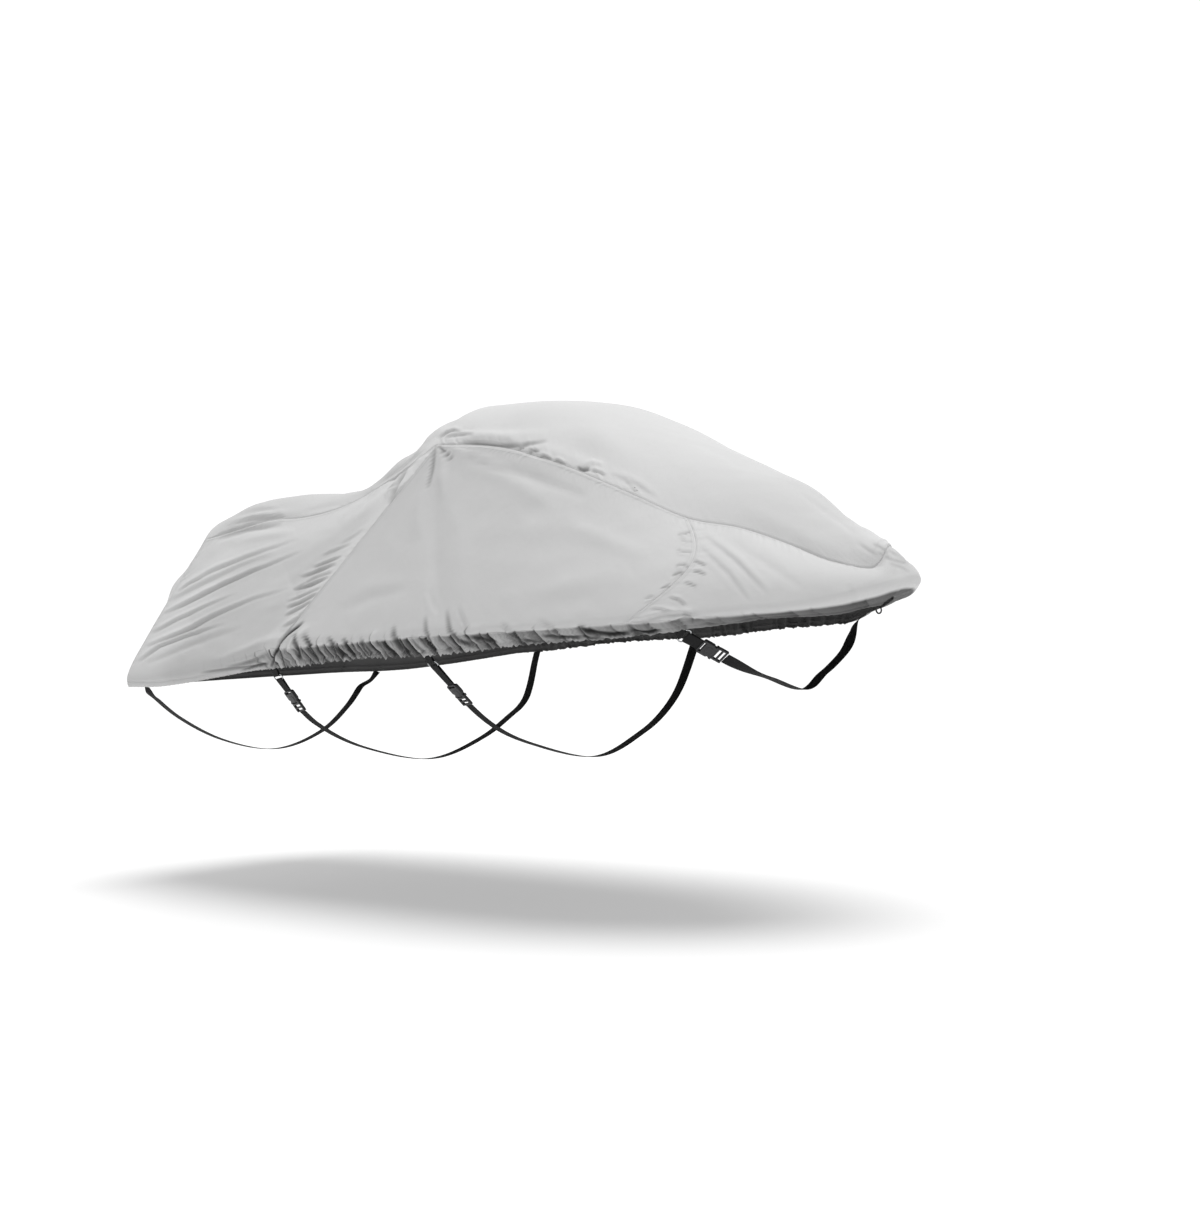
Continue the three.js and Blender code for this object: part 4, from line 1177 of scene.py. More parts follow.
    def tones(self, grid: SideGrid, drawn: Array, pleat: Array) -> Array:
        """Painted shade in the tuck, on the rear panels and on the nose: how much darker the cloth is there.

        Args:
            grid: the panel's grid.
            drawn: how much elastic draws the cloth in.
            pleat: each pleat's factor on the painted shade.

        Returns:
            Shares from 0 to 1.
        """
        station, v = grid.station, grid.v
        # painted shade of the tuck under the fold, with each pleat's painted shade on top
        begin, full = read(TUCK_SHADES, station, 2), read(TUCK_SHADES, station, 3)
        tucked = read(TUCK_SHADES, station) * smooth(begin, full, v)
        tucked = np.clip(tucked * (1 + drawn * (pleat - 1)), 0, 1)
        start, end, down = self.REAR_SHADE_AT
        rear = REAR_SHADE * smooth(*start, station) * (1 - smooth(*end, station)) * smooth(*down, v)
        start, end = self.NOSE_SHADE_AT
        nose = NOSE_SHADE * smooth(*start, station) * (1 - smooth(*end, v))
        return np.maximum(np.maximum(tucked, rear), nose)

    def grooves(self, grid: SideGrid) -> tuple[Array, Array]:
        """The deepest of the three seams' grooves, the same on both cloths of a seam, and the painted shade in the peak
        seam's groove.
        """
        edge = grid.q[:, :1]
        found = SeamRelief.groove(grid.down, np.where(edge > NOSE, SeamRelief.base, read(TOP_GROOVES, edge)))
        dark = np.zeros_like(grid.v)
        for station, distance in grid.ends:
            depth = np.full_like(grid.v, SeamRelief.base)
            if station == PEAK:
                depth = read(PEAK_GROOVES, grid.v, 1)
                dark = read(PEAK_GROOVES, grid.v, 2) * bell(distance / self.GROOVE_DARK)
            found = np.maximum(found, SeamRelief.groove(distance, depth))
        return found, dark

    def seam_normals(self, form: CoverForm, grid: SideGrid) -> Array:
        """Normals turned toward the mean of both cloths close to the seams with the centre panel."""
        row, port = grid.station[:, 0], (grid.q[:, 0] > NOSE)[:, None]
        top = np.where(port, form.seam_normal(row, True), form.seam_normal(row, False))[:, None, :]
        normals = self.turned(self.grid_normals(grid.base), top, grid.down)
        for station, distance in grid.ends:
            if station in (0, LAST):
                tail = form.seam_normal(-np.maximum(grid.v[0], 1e-6), grid.port)[None, :, :]
                normals = self.turned(normals, tail, distance)
        return unit(normals)


@dataclass
class CentrePanel(ClothPanel):
    """The long panel from the tail hem over the top to the tongue at the nose."""

    name: str = "centre_cloth"
    rows: int = 436
    columns: int = 110
    seed: int = 90
    pucker: float = 1.5

    ROW_SHARES = ((0, -2), (0.03, -1.25), (0.12, 0.0), (0.32, 4.7), (0.68, 8.0), (0.82, 11), (0.985, 13.9), (1, 14))
    COLUMN_SHARES = ((0, -1), (0.09, -0.97), (0.42, -0.6), (0.94, 0.97), (1, 1))
    CASING_ROUND = 2.6
    WAVES = ((0.5, 340), (-0.3, 280), (1.0, 150), (0.4, 190))
    TIP = (NOSE - 1.5, NOSE)  # rows over which swells and waves end
    SWELL_EDGE = 6  # power of the share across that fades swells at the edges
    SWELL_FROM = (-2, -1.6)
    STARBOARD_PUCKER = (1.6, 1.3, 8.3, 9.6)  # share of the puckers, what it loses on the tongue, and the rows of that
    ROLL_AT = (30.0, 22.0)  # distance of the roll from the seam and its half-width
    ROLL_WAVE = (0.35, 90.0)
    CREASE_IN = 6.0  # distance from the seams over which creases fade in
    CREASE_ACROSS = 0.3  # share across past which no crease is seen
    TAIL_SHADE = (0.06, -1.1, -1.5)  # painted shade of the tail's tuck and the rows where it starts and is full
    SADDLE_SHADE = (0.75, (-0.6, 0.4), (3.6, 4.8))  # painted shade on the saddle as a share of the rear panels', rows where it starts and ends
    # painted shade on the tongue: how much darker, the rows where it starts and the rows where it ends
    TONGUE_SHADE = (0.1, (8.2, 11.0), (11.0, 13.0))

    def build(self, form: CoverForm) -> Object:
        """Smooth grid, then swells, seam relief, creases and a soft waviness along the normals.

        Args:
            form: the cover's smooth form.

        Returns:
            The panel.
        """
        row_line = read(self.ROW_SHARES, np.linspace(0, 1, self.rows + 1))
        across_line = read(self.COLUMN_SHARES, np.linspace(0, 1, self.columns + 1))
        row, across = np.meshgrid(row_line, across_line, indexing="ij")
        base = form.centre(row, across)
        normals = np.cross(np.gradient(base, axis=0), np.gradient(base, axis=1))
        normals[-2:] = normals[-3]
        normals = unit(normals)
        along, over = travelled(base, 0), travelled(base, 1)
        to_port = over[:, -1:] - over
        for port, distance in ((False, over), (True, to_port)):
            normals = unit(self.turned(normals, form.seam_normal(row[:, 0], port)[:, None, :], distance))
        near = np.minimum(over, to_port)
        most, less, low, high = self.STARBOARD_PUCKER
        lift = SeamRelief.rise(over, along, self.pucker * (most - less * smooth(low, high, row)), self.seed)
        lift += SeamRelief.rise(to_port, along, self.pucker, self.seed + 1)
        lift *= smooth(0.0, SeamRelief.fade_in, near)
        starboard = SeamRelief.groove(over, read(TOP_GROOVES, row))
        lift -= np.maximum(starboard, SeamRelief.groove(to_port, SeamRelief.base))
        lift += self.roll(row, along, over) + self.swells(form, base, row, across)
        creased, dark = crease_lift(CENTRE_CREASES, PhotoEye.pixels(base))
        facing = (PhotoEye.facing(base, normals) > 0) * (across < self.CREASE_ACROSS)
        lift += creased * smooth(0.0, self.CREASE_IN, near) * facing
        lift += self.waviness(along, over) * smooth(0.0, self.FREE, near) * (1 - smooth(*self.TIP, row))
        lift += self.casing(along) * smooth(0.0, self.CASING_IN, near)
        outer = base + normals * lift[..., None]
        final = np.cross(np.gradient(outer, axis=0), np.gradient(outer, axis=1))
        final[-1] = final[-3].mean(axis=0)
        final[-2] = final[-3]
        # painted shade: the tail's tuck, the saddle and the tongue, and the crease valleys
        shade = np.maximum(self.tones(row), dark * facing)
        hidden = self.hidden(near, row)
        sheet = ClothSheet(self.name, outer, unit(final), hidden, along, shade, np.zeros_like(shade))
        obj = sheet.build(flip=False, merge=True)
        sheet.declare()
        return obj

    def roll(self, row: Array, along: Array, over: Array) -> Array:
        """Roll of slack cloth beside the starboard seam: a bell over the distance from its middle, uneven along it."""
        (middle, width), (share, pitch) = self.ROLL_AT, self.ROLL_WAVE
        uneven = 1 + share * wander(along, pitch, self.seed + 3)
        return read(TOP_ROLLS, row) * bell((over - middle) / width) * smooth(0.0, self.FREE, over) * uneven

    def tones(self, row: Array) -> Array:
        """Painted shade on the tail's tuck, the saddle and the tongue, 0 to 1."""
        tail, low, high = self.TAIL_SHADE
        share, start, end = self.SADDLE_SHADE
        # painted shade on the saddle and the tongue
        wear_and_painted_shade = share * REAR_SHADE * smooth(*start, row) * (1 - smooth(*end, row))
        share, start, end = self.TONGUE_SHADE
        wear_and_painted_shade += share * smooth(*start, row) * (1 - smooth(*end, row))
        return np.maximum(tail * smooth(low, high, row), wear_and_painted_shade)

    @classmethod
    def swells(cls, form: CoverForm, base: Array, row: Array, across: Array) -> Array:
        """Bells over the distance from each swell's middle, faded at the edges, the hem and the nose."""
        total = np.zeros(row.shape)
        for swell in CENTRE_SWELLS:
            middle = form.centre(np.array(float(swell.row)), np.array(float(swell.across)))
            total += swell.height * bell(np.linalg.norm(base - middle, axis=-1) / swell.spread)
        edge = 1 - np.abs(across) ** cls.SWELL_EDGE
        return total * edge * smooth(*cls.SWELL_FROM, row) * (1 - smooth(*cls.TIP, row))


@dataclass
class Ribbon:
    """Webbing along a course: a rounded flat section carried on frames of (centre, across, out), in metres."""

    width: float = 0.038
    thick: float = 0.0022
    sides: int = 24

    FLATNESS = (0.35, 0.55)  # powers of the section's cosine and sine

    def build(self, name: str, centres: Array, across: Array, out: Array) -> Mesh:
        """Closed band: superellipse section of two half-widths, swept, with both ends closed.

        Args:
            name: mesh name.
            centres: points of the course.
            across: unit directions over the width.
            out: unit directions over the thickness.

        Returns:
            The mesh with a map of (place along, place across) in metres.
        """
        angle = full_turn(self.sides)
        wide = signed_power(np.cos(angle), self.FLATNESS[0]) * self.width / 2
        deep = signed_power(np.sin(angle), self.FLATNESS[1]) * self.thick / 2
        points = centres[:, None] + across[:, None] * wide[None, :, None] + out[:, None] * deep[None, :, None]
        mesh = swept_mesh(name, points)
        place = travelled(centres, 0)
        weave = np.stack([np.repeat(place, self.sides), np.tile(wide, len(centres))], -1)
        add_map(mesh, "weave", np.concatenate([weave, [[place[0], 0.0], [place[-1], 0.0]]]))
        return mesh


def unique_corners(node: Object) -> tuple[Array, list[set[int]]]:
    """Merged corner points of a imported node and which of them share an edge.

    Args:
        node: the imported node's object.

    Returns:
        The points in metres and the neighbours of each.
    """
    work = bmesh.new()
    work.from_mesh(node.data)
    bmesh.ops.remove_doubles(work, verts=work.verts, dist=1e-5)
    work.verts.ensure_lookup_table()
    points = np.array([v.co[:] for v in work.verts])
    linked = [{e.other_vert(v).index for e in v.link_edges} for v in work.verts]
    work.free()
    return points, linked


def box_middle(points: Array) -> Array:
    """Middle of the box round points."""
    return (points.max(axis=0) + points.min(axis=0)) / 2


def band_course(node: Object, near: Array) -> tuple[Array, Array]:
    """Course of a packed band: its cross sections in order, found by walking from the end that is nearest a point.

    Args:
        node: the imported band, four corners at each section.
        near: a point by its first end.

    Returns:
        Section middles and unit directions across.
    """
    points, linked = unique_corners(node)
    layer = set(np.argsort(np.linalg.norm(points - near, axis=1))[:4].tolist())
    done: set[int] = set()
    middles, acrosses = [], []
    while layer:
        corners = points[sorted(layer)]
        middle = corners.mean(axis=0)
        across = np.linalg.svd(corners - middle)[2][0]
        if acrosses and across @ acrosses[-1] < 0:
            across = -across
        middles.append(middle)
        acrosses.append(across)
        done |= layer
        layer = set().union(*(linked[i] for i in layer)) - done
    return np.array(middles), np.array(acrosses)


def fine_course(middles: Array, acrosses: Array, step: float) -> tuple[Array, Array, Array]:
    """Cubic course through section middles, with square frames.

    Args:
        middles: section middles.
        acrosses: directions across.
        step: distance between the new frames.

    Returns:
        Centres, directions across and directions out.
    """
    place = travelled(middles, 0)
    at = np.linspace(0, place[-1], max(2, int(place[-1] / step)) + 1)
    tables = (middles, acrosses)
    centres, across = (np.stack([curve_table(at, place, column) for column in rows.T], -1) for rows in tables)
    along = unit(np.gradient(centres, axis=0))
    across = unit(across - along * (across * along).sum(-1, keepdims=True))
    return centres, across, np.cross(along, across)


@dataclass(frozen=True)
class Block:
    """A rounded block of a buckle: offset and sizes (across, along, out) in metres, squareness, and a twin across."""

    offset: tuple[float, float, float]
    size: tuple[float, float, float]
    power: float = 0.32
    twin: bool = False

    TURNS = 32
    RISES = 17

    def build(self, middle: Array, axes: Array, side: int) -> Mesh:
        """Superellipsoid: its cosines and sines raised to a power below one, the lower the squarer.

        Args:
            middle: point that the offset starts from.
            axes: rows are the unit directions across, along and out.
            side: 1, or -1 for the twin.

        Returns:
            The mesh.
        """
        turn = full_turn(self.TURNS)
        rise = np.linspace(-np.pi / 2, np.pi / 2, self.RISES)[1:-1]
        ring = np.abs(np.cos(rise))[:, None] ** self.power
        x = ring * signed_power(np.cos(turn), self.power)
        y = ring * signed_power(np.sin(turn), self.power)
        z = np.repeat(signed_power(np.sin(rise), self.power)[:, None], len(turn), axis=1)
        place = middle + (np.array(self.offset) * (side, 1, 1)) @ axes
        return swept_mesh("block", place + (np.stack([x, y, z], -1) * np.array(self.size) / 2) @ axes)


# Socket of a buckle: flat body, cheeks beside the side openings, their feet, end bar, raised pad and a rib
SOCKET_BLOCKS = (
    Block((0, 0.004, 0), (0.044, 0.036, 0.013)),
    Block((0.0215, -0.006, 0), (0.008, 0.034, 0.012), twin=True),
    Block((0.0205, 0.021, 0), (0.010, 0.008, 0.013), twin=True),
    Block((0, -0.0215, 0), (0.044, 0.006, 0.009), 0.5),
    Block((0, 0.007, 0.0062), (0.028, 0.022, 0.003), 0.4),
    Block((0, -0.0075, 0.0055), (0.034, 0.003, 0.0028), 0.6),
)
# Plug of a buckle: two rails, three cross bars with slots between them for the webbing, two prongs into the socket
PLUG_BLOCKS = (
    Block((0.0215, 0.002, 0), (0.006, 0.031, 0.009), twin=True),
    Block((0, -0.0135, 0), (0.047, 0.007, 0.011)),
    Block((0, 0.0015, 0.0005), (0.042, 0.0055, 0.007), 0.5),
    Block((0, 0.0145, 0), (0.047, 0.005, 0.008), 0.5),
    Block((0.017, -0.020, 0), (0.007, 0.014, 0.006), twin=True),
)


class StrapFittings:
    """Tab, ring, short webbing and buckle of one strap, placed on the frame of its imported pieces."""

    wire = 0.004
    wire_sides = 14
    bar_gap = 0.017
    ring_half = 0.026  # half the ring's outer length
    slack = 0.0004
    leg_gap = 0.0013  # half the gap between doubled webbing
    into_socket = 0.004
    ribbon = Ribbon()

    def __init__(self, strap: str, nodes: dict[str, Object]) -> None:
        """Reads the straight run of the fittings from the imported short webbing.

        Args:
            strap: name of the strap.
            nodes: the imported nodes.
        """
        self.strap = strap
        self.nodes = nodes
        upper = self.corners("upper")
        self.upper_middle = upper.mean(axis=0)
        self.ring_middle = self.corners("ring").mean(axis=0)
        self.socket_middle = box_middle(self.corners("socket"))
        self.plug_middle = box_middle(self.corners("plug"))
        self.along = unit(self.socket_middle - self.ring_middle)
        spread = upper - self.upper_middle
        self.upper_half = float((spread @ self.along).max())
        spread = spread - np.outer(spread @ self.along, self.along)
        self.across = np.linalg.svd(spread)[2][0]
        if self.across[0] < 0:
            self.across = -self.across
        self.out = np.cross(self.along, self.across)
        if self.out[1] > 0:
            self.across, self.out = -self.across, -self.out

    def corners(self, part: str) -> Array:
        """Corner points of one of the strap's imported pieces."""
        return unique_corners(self.nodes[f"{self.strap}_{part}"])[0]

    def at(self, along: float, out: float) -> Array:
        """Point by distances from the ring's middle."""
        return self.ring_middle + self.along * along + self.out * out

    def loop_course(self, bar: float, far: Array, turn: int) -> tuple[Array, Array, Array]:
        """Course of webbing that runs to a bar, round it and back: two straight legs and a half circle.

        Args:
            bar: place of the bar from the ring's middle.
            far: middle of the legs' far ends.
            turn: 1 where the bar is ahead of the legs along the strap, -1 where it is behind them.

        Returns:
            Centres, directions across and directions out.
        """
        radius = self.wire / 2 + self.ribbon.thick / 2 + self.slack
        angle = np.linspace(np.pi / 2, -np.pi / 2, 15)
        round_ = np.array([self.at(bar + turn * radius * np.cos(a), radius * np.sin(a)) for a in angle])
        share = np.linspace(0, 1, 10)[:-1, None]
        down = (far + self.out * self.leg_gap) * (1 - share) + round_[0] * share
        back = (far - self.out * self.leg_gap) * (1 - share[::-1]) + round_[-1] * share[::-1]
        centres = np.concatenate([down, round_, back])
        across = np.repeat(self.across[None], len(centres), axis=0)
        return centres, across, np.cross(unit(np.gradient(centres, axis=0)), across)

    def build(self, finishes: Finishes) -> None:
        """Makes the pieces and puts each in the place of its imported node."""
        ring_bar = self.bar_gap / 2
        tab = self.corners("tab")
        hem = tab[np.argsort((tab - self.ring_middle) @ self.along)[:4]].mean(axis=0)
        far = self.upper_middle + self.along * (self.upper_half + self.into_socket)
        self.stand(self.webbing("tab_webbing", -ring_bar, hem, 1), "tab", finishes.webbing)
        ring = looped_mesh(f"{self.strap}_wire_ring", self.wire_ring())
        self.stand(ring, "ring", finishes.steel)
        self.stand(self.webbing("short_webbing", ring_bar, far, -1), "upper", finishes.webbing)
        socket = self.moulding("buckle_socket", self.socket_middle, SOCKET_BLOCKS)
        self.stand(socket, "socket", finishes.buckle)
        plug = self.moulding("buckle_plug", self.plug_middle, PLUG_BLOCKS)
        self.stand(plug, "plug", finishes.buckle)

    def stand(self, mesh: Mesh, part: str, finish: Material) -> None:
        """Puts a mesh in the place of one of the strap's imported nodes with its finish."""
        dress(piece(mesh.name, mesh), finish, f"{self.strap}_{part}")

    def webbing(self, name: str, bar: float, far: Array, turn: int) -> Mesh:
        """Doubled webbing round a bar of the ring."""
        return self.ribbon.build(f"{self.strap}_{name}", *self.loop_course(bar, far, turn))

    def wire_ring(self) -> Array:
        """Oblong loop of round wire: two straight bars and two half circles, with a round section carried along it."""
        radius, half = self.bar_gap / 2, self.ring_half - self.bar_gap / 2
        turn = np.linspace(-np.pi / 2, np.pi / 2, 17)
        end = np.stack([half + radius * np.cos(turn), radius * np.sin(turn)], -1)
        loop = np.concatenate([end, -end])
        tangent = unit(np.roll(loop, -1, axis=0) - np.roll(loop, 1, axis=0))
        side = np.stack([tangent[:, 1], -tangent[:, 0]], -1)
        angle = full_turn(self.wire_sides)
        flat = loop[:, None] + side[:, None] * (np.cos(angle) * self.wire / 2)[None, :, None]
        high = np.broadcast_to((np.sin(angle) * self.wire / 2)[None, :], flat.shape[:2])
        return self.ring_middle + flat[..., :1] * self.across + flat[..., 1:] * self.along + high[..., None] * self.out

    def moulding(self, name: str, middle: Array, blocks: tuple[Block, ...]) -> Mesh:
        """Half of the buckle: its blocks and their twins in one mesh."""
        axes = np.stack([self.across, self.along, self.out])
        meshes = [block.build(middle, axes, side) for block in blocks for side in ((1, -1) if block.twin else (1,))]
        return joined(f"{self.strap}_{name}", meshes)


class Nodes:
    """Small helper that adds and links shader nodes."""

    def __init__(self, name: str) -> None:
        """Starts a material with a principled surface."""
        self.material = bpy.data.materials.new(name)
        self.material.use_nodes = True
        self.tree = self.material.node_tree
        self.tree.nodes.clear()
        self.surface = self.add("ShaderNodeBsdfPrincipled")
        output = self.add("ShaderNodeOutputMaterial")
        self.put(output.inputs["Surface"], self.surface.outputs[0])

    def add(self, kind: str, **settings: object) -> Node:
        """Adds a node with settings."""
        node = self.tree.nodes.new(kind)
        for key, value in settings.items():
            setattr(node, key, value)
        return node

    def put(self, into: Socket, value: Value) -> None:
        """Links a socket into an input, or sets a colour or a number there."""
        if isinstance(value, Socket):
            self.tree.links.new(value, into)
        else:
            into.default_value = (*value, 1) if isinstance(value, tuple) else float(value)

    def look(self, settings: dict[str, Value]) -> None:
        """Puts values into the surface's inputs by their names."""
        for name, value in settings.items():
            self.put(self.surface.inputs[name], value)

    def math(self, operation: str, a: Value, b: Value = 0.0) -> Socket:
        """Math node on sockets or numbers."""
        node = self.add("ShaderNodeMath", operation=operation)
        for socket, value in zip(node.inputs, (a, b)):
            self.put(socket, value)
        return node.outputs[0]

    def noise(self, scale: float, detail: float, roughness: float = 0.55) -> Socket:
        """Noise over the piece's own place."""
        return self.noise_at(self.add("ShaderNodeTexCoord").outputs["Object"], scale, detail, roughness)

    def noise_at(self, place: Socket, scale: float, detail: float, roughness: float) -> Socket:
        """Noise over any place."""
        node = self.add("ShaderNodeTexNoise")
        for name, value in (("Vector", place), ("Scale", scale), ("Detail", detail), ("Roughness", roughness)):
            self.put(node.inputs[name], value)
        return node.outputs[0]

    def drawn_noise(self, axes: tuple[Socket, Socket], scales: tuple[float, float], detail: float) -> Socket:
        """Noise drawn out by unlike scales of two map values."""
        place = self.add("ShaderNodeCombineXYZ")
        for into, axis, scale in zip(place.inputs, axes, scales):
            self.put(into, self.math("MULTIPLY", axis, scale))
        return self.noise_at(place.outputs[0], 1.0, detail, 0.5)

    def map_axes(self, label: str) -> tuple[Socket, Socket]:
        """The two values of a coordinate map."""
        split = self.add("ShaderNodeSeparateXYZ")
        self.put(split.inputs[0], self.add("ShaderNodeUVMap", uv_map=label).outputs[0])
        return split.outputs[0], split.outputs[1]

    def attribute(self, label: str) -> Socket:
        """Value of a point attribute."""
        return self.add("ShaderNodeAttribute", attribute_name=label).outputs["Fac"]

    def mixed(self, share: Socket, a: Value, b: Value) -> Socket:
        """Colour between two by a share."""
        node = self.add("ShaderNodeMix", data_type="RGBA")
        for name, value in (("Factor", share), ("A", a), ("B", b)):
            self.put(node.inputs[name], value)
        return node.outputs["Result"]

    def bump(self, height: Value, distance: float, strength: float, below: Node | None = None) -> Node:
        """Bump node on the surface's normal, on top of another where given."""
        node = self.add("ShaderNodeBump")
        for name, value in (("Height", height), ("Distance", distance), ("Strength", strength)):
            self.put(node.inputs[name], value)
        if below is not None:
            self.put(node.inputs["Normal"], below.outputs[0])
        self.look({"Normal": node.outputs[0]})
        return node


@dataclass(frozen=True)
class ClothFinish:
    """Matt light grey woven polyester with sewn seams."""

    colour: Colour = (0.65, 0.65, 0.65)
    shade: Colour = (0.61, 0.61, 0.61)
    thread: Colour = (0.50, 0.50, 0.50)
    groove: Colour = (0.26, 0.26, 0.26)
    # colour that the painted shade darkens toward
    deep: Colour = (0.012, 0.012, 0.012)
    yarn: float = 0.0011
    stitch: float = 0.0034
    stitch_share: float = 0.62
    stitch_half: float = 0.0006
    thread_share: float = 0.6
    stitch_rows: tuple[float, float] = (0.0055, 0.0125)
    groove_width: float = 0.0011
    groove_patches: tuple[float, float, float] = (14, 2, 0.5)
    broad_tone: tuple[float, float, float] = (2.3, 3, 0.7)
    fine_tone: tuple[float, float, float] = (60, 4, 0.3)
    pucker_scale: tuple[float, float] = (110.0, 22.0)
    pucker_fade: float = 0.025
    streak_scale: tuple[float, float] = (95.0, 17.0)
    streak_lean: float = 0.55
    streak_gain: float = 3.2

    def material(self) -> Material:
        """Weave and seam stitches on the cut's own maps, tone from noise over the cloth, painted shade from the points'
        shade attribute.
        """
        n = Nodes("cover_cloth")
        tone = n.math("ADD", *(self.patches(n, sizes) for sizes in (self.broad_tone, self.fine_tone)))
        along, off = n.map_axes("seam")
        stitched = self.stitches(n, along, off)
        thread = n.math("MULTIPLY", stitched, self.thread_share)
        colour = n.mixed(thread, n.mixed(tone, self.shade, self.colour), self.thread)
        valley = n.math("LESS_THAN", off, self.groove_width)
        valley = n.math("MULTIPLY", valley, self.patches(n, self.groove_patches))
        colour = n.mixed(valley, colour, self.groove)
        u, v = n.map_axes("cut")
        # painted shade: the shade attribute darkens toward the deep colour, varied by leaning streaks where the elastic
        # draws the cloth in
        dark = n.attribute("shade")
        streak = n.math("MULTIPLY", n.attribute("drawn"), n.math("SUBTRACT", self.streaks(n, u, v), 0.5))
        less = n.math("MULTIPLY", n.math("SUBTRACT", 1.0, dark), self.streak_gain)
        uneven = n.math("MULTIPLY", dark, n.math("ADD", n.math("MULTIPLY", streak, less), 1.0))
        colour = n.mixed(n.math("MINIMUM", uneven, 1.0), colour, self.deep)
        waves = [n.math("SINE", n.math("MULTIPLY", axis, 2 * np.pi / self.yarn)) for axis in (u, v)]
        layers = (
            (n.math("MULTIPLY", *waves), 0.00012, 0.5),
            (n.noise(38, 5), 0.002, 0.35),
            (n.noise(9, 4, 0.5), 0.008, 0.3),
            (self.puckers(n, along, off), 0.0012, 0.7),
            (streak, 0.006, 0.6),
            (n.math("SUBTRACT", 1.0, stitched), 0.0005, 0.6),
        )
        bump = None
        for height, distance, strength in layers:
            bump = n.bump(height, distance, strength, bump)
        n.look({"Base Color": colour, "Roughness": 0.86, "Sheen Weight": 0.08, "Sheen Roughness": 0.5})
        n.look({"Specular IOR Level": 0.25})
        return n.material

    @staticmethod
    def patches(n: Nodes, sizes: tuple[float, float, float]) -> Socket:
        """Noise of a scale and detail, times a share."""
        scale, detail, share = sizes
        return n.math("MULTIPLY", n.noise(scale, detail), share)

    def stitches(self, n: Nodes, along: Socket, off: Socket) -> Socket:
        """Two rows of dashes beside the seam: 1 on thread, 0 elsewhere."""
        dash = n.math("LESS_THAN", n.math("FRACT", n.math("DIVIDE", along, self.stitch)), self.stitch_share)
        gaps = [n.math("ABSOLUTE", n.math("SUBTRACT", off, place)) for place in self.stitch_rows]
        return n.math("MULTIPLY", dash, n.math("LESS_THAN", n.math("MINIMUM", *gaps), self.stitch_half))

    def streaks(self, n: Nodes, u: Socket, v: Socket) -> Socket:
        """Leaning streaks of drawn-in cloth: noise drawn out down the cut."""
        leaning = n.math("SUBTRACT", u, n.math("MULTIPLY", v, self.streak_lean))
        return n.drawn_noise((leaning, v), self.streak_scale, 3.0)

    def puckers(self, n: Nodes, along: Socket, off: Socket) -> Socket:
        """Fine puckers square to the seam: noise drawn out over the distance from it, fading by the square."""
        grain = n.drawn_noise((along, off), self.pucker_scale, 2.0)
        fade = n.math("SUBTRACT", 1.0, n.math("MINIMUM", n.math("DIVIDE", off, self.pucker_fade), 1.0))
        return n.math("MULTIPLY", grain, n.math("MULTIPLY", fade, fade))


@dataclass(frozen=True)
class WebbingFinish:
    """Black woven strap with a herringbone weave."""

    colour: Colour = (0.006, 0.006, 0.006)
    light: Colour = (0.016, 0.016, 0.017)
    rib: float = 0.0026

    def material(self) -> Material:
        """Herringbone: ribs slanted one way on even lanes and the other way on odd lanes of the width."""
        n = Nodes("strap_webbing")
        u, v = n.map_axes("weave")
        slant = n.math("ADD", u, n.math("PINGPONG", v, self.rib * 2))
        ribs = n.math("SINE", n.math("MULTIPLY", slant, 2 * np.pi / self.rib))
        share = n.math("MULTIPLY", n.math("ADD", ribs, 1.0), 0.5)
        n.bump(n.noise(400, 3), 0.0003, 0.3, n.bump(ribs, 0.0004, 0.7))
        n.look({"Base Color": n.mixed(share, self.colour, self.light), "Roughness": 0.72, "Specular IOR Level": 0.2})
        return n.material


@dataclass(frozen=True)
class MouldedFinish:
    """Moulded or drawn finish: colour, roughness, metal share and a fine grain."""

    name: str
    colour: Colour
    wear_and_painted_shade: Colour
    roughness: float
    metallic: float
    grain: float

    def material(self) -> Material:
        """Tone from broad noise, bump from fine noise."""
        n = Nodes(self.name)
        n.bump(n.noise(self.grain, 3), 0.0002, 0.35)
        n.look({"Base Color": n.mixed(n.noise(45, 4), self.colour, self.wear_and_painted_shade)})
        n.look({"Roughness": self.roughness, "Metallic": self.metallic})
        return n.material


BUCKLE_PLASTIC = MouldedFinish("buckle_plastic", (0.016, 0.016, 0.018), (0.026, 0.026, 0.028), 0.42, 0.0, 900)
RING_STEEL = MouldedFinish("ring_wire_steel", (0.58, 0.59, 0.6), (0.45, 0.46, 0.47), 0.24, 1.0, 700)
NOSE_RUBBER = MouldedFinish("nose_ring_rubber", (0.014, 0.014, 0.015), (0.022, 0.022, 0.023), 0.6, 0.0, 600)


class Finishes:
    """All finishes of the cover, made once."""

    def __init__(self) -> None:
        """Makes the materials."""
        self.cloth = ClothFinish().material()
        self.webbing = WebbingFinish().material()
        self.buckle = BUCKLE_PLASTIC.material()
        self.steel = RING_STEEL.material()
        self.rubber = NOSE_RUBBER.material()


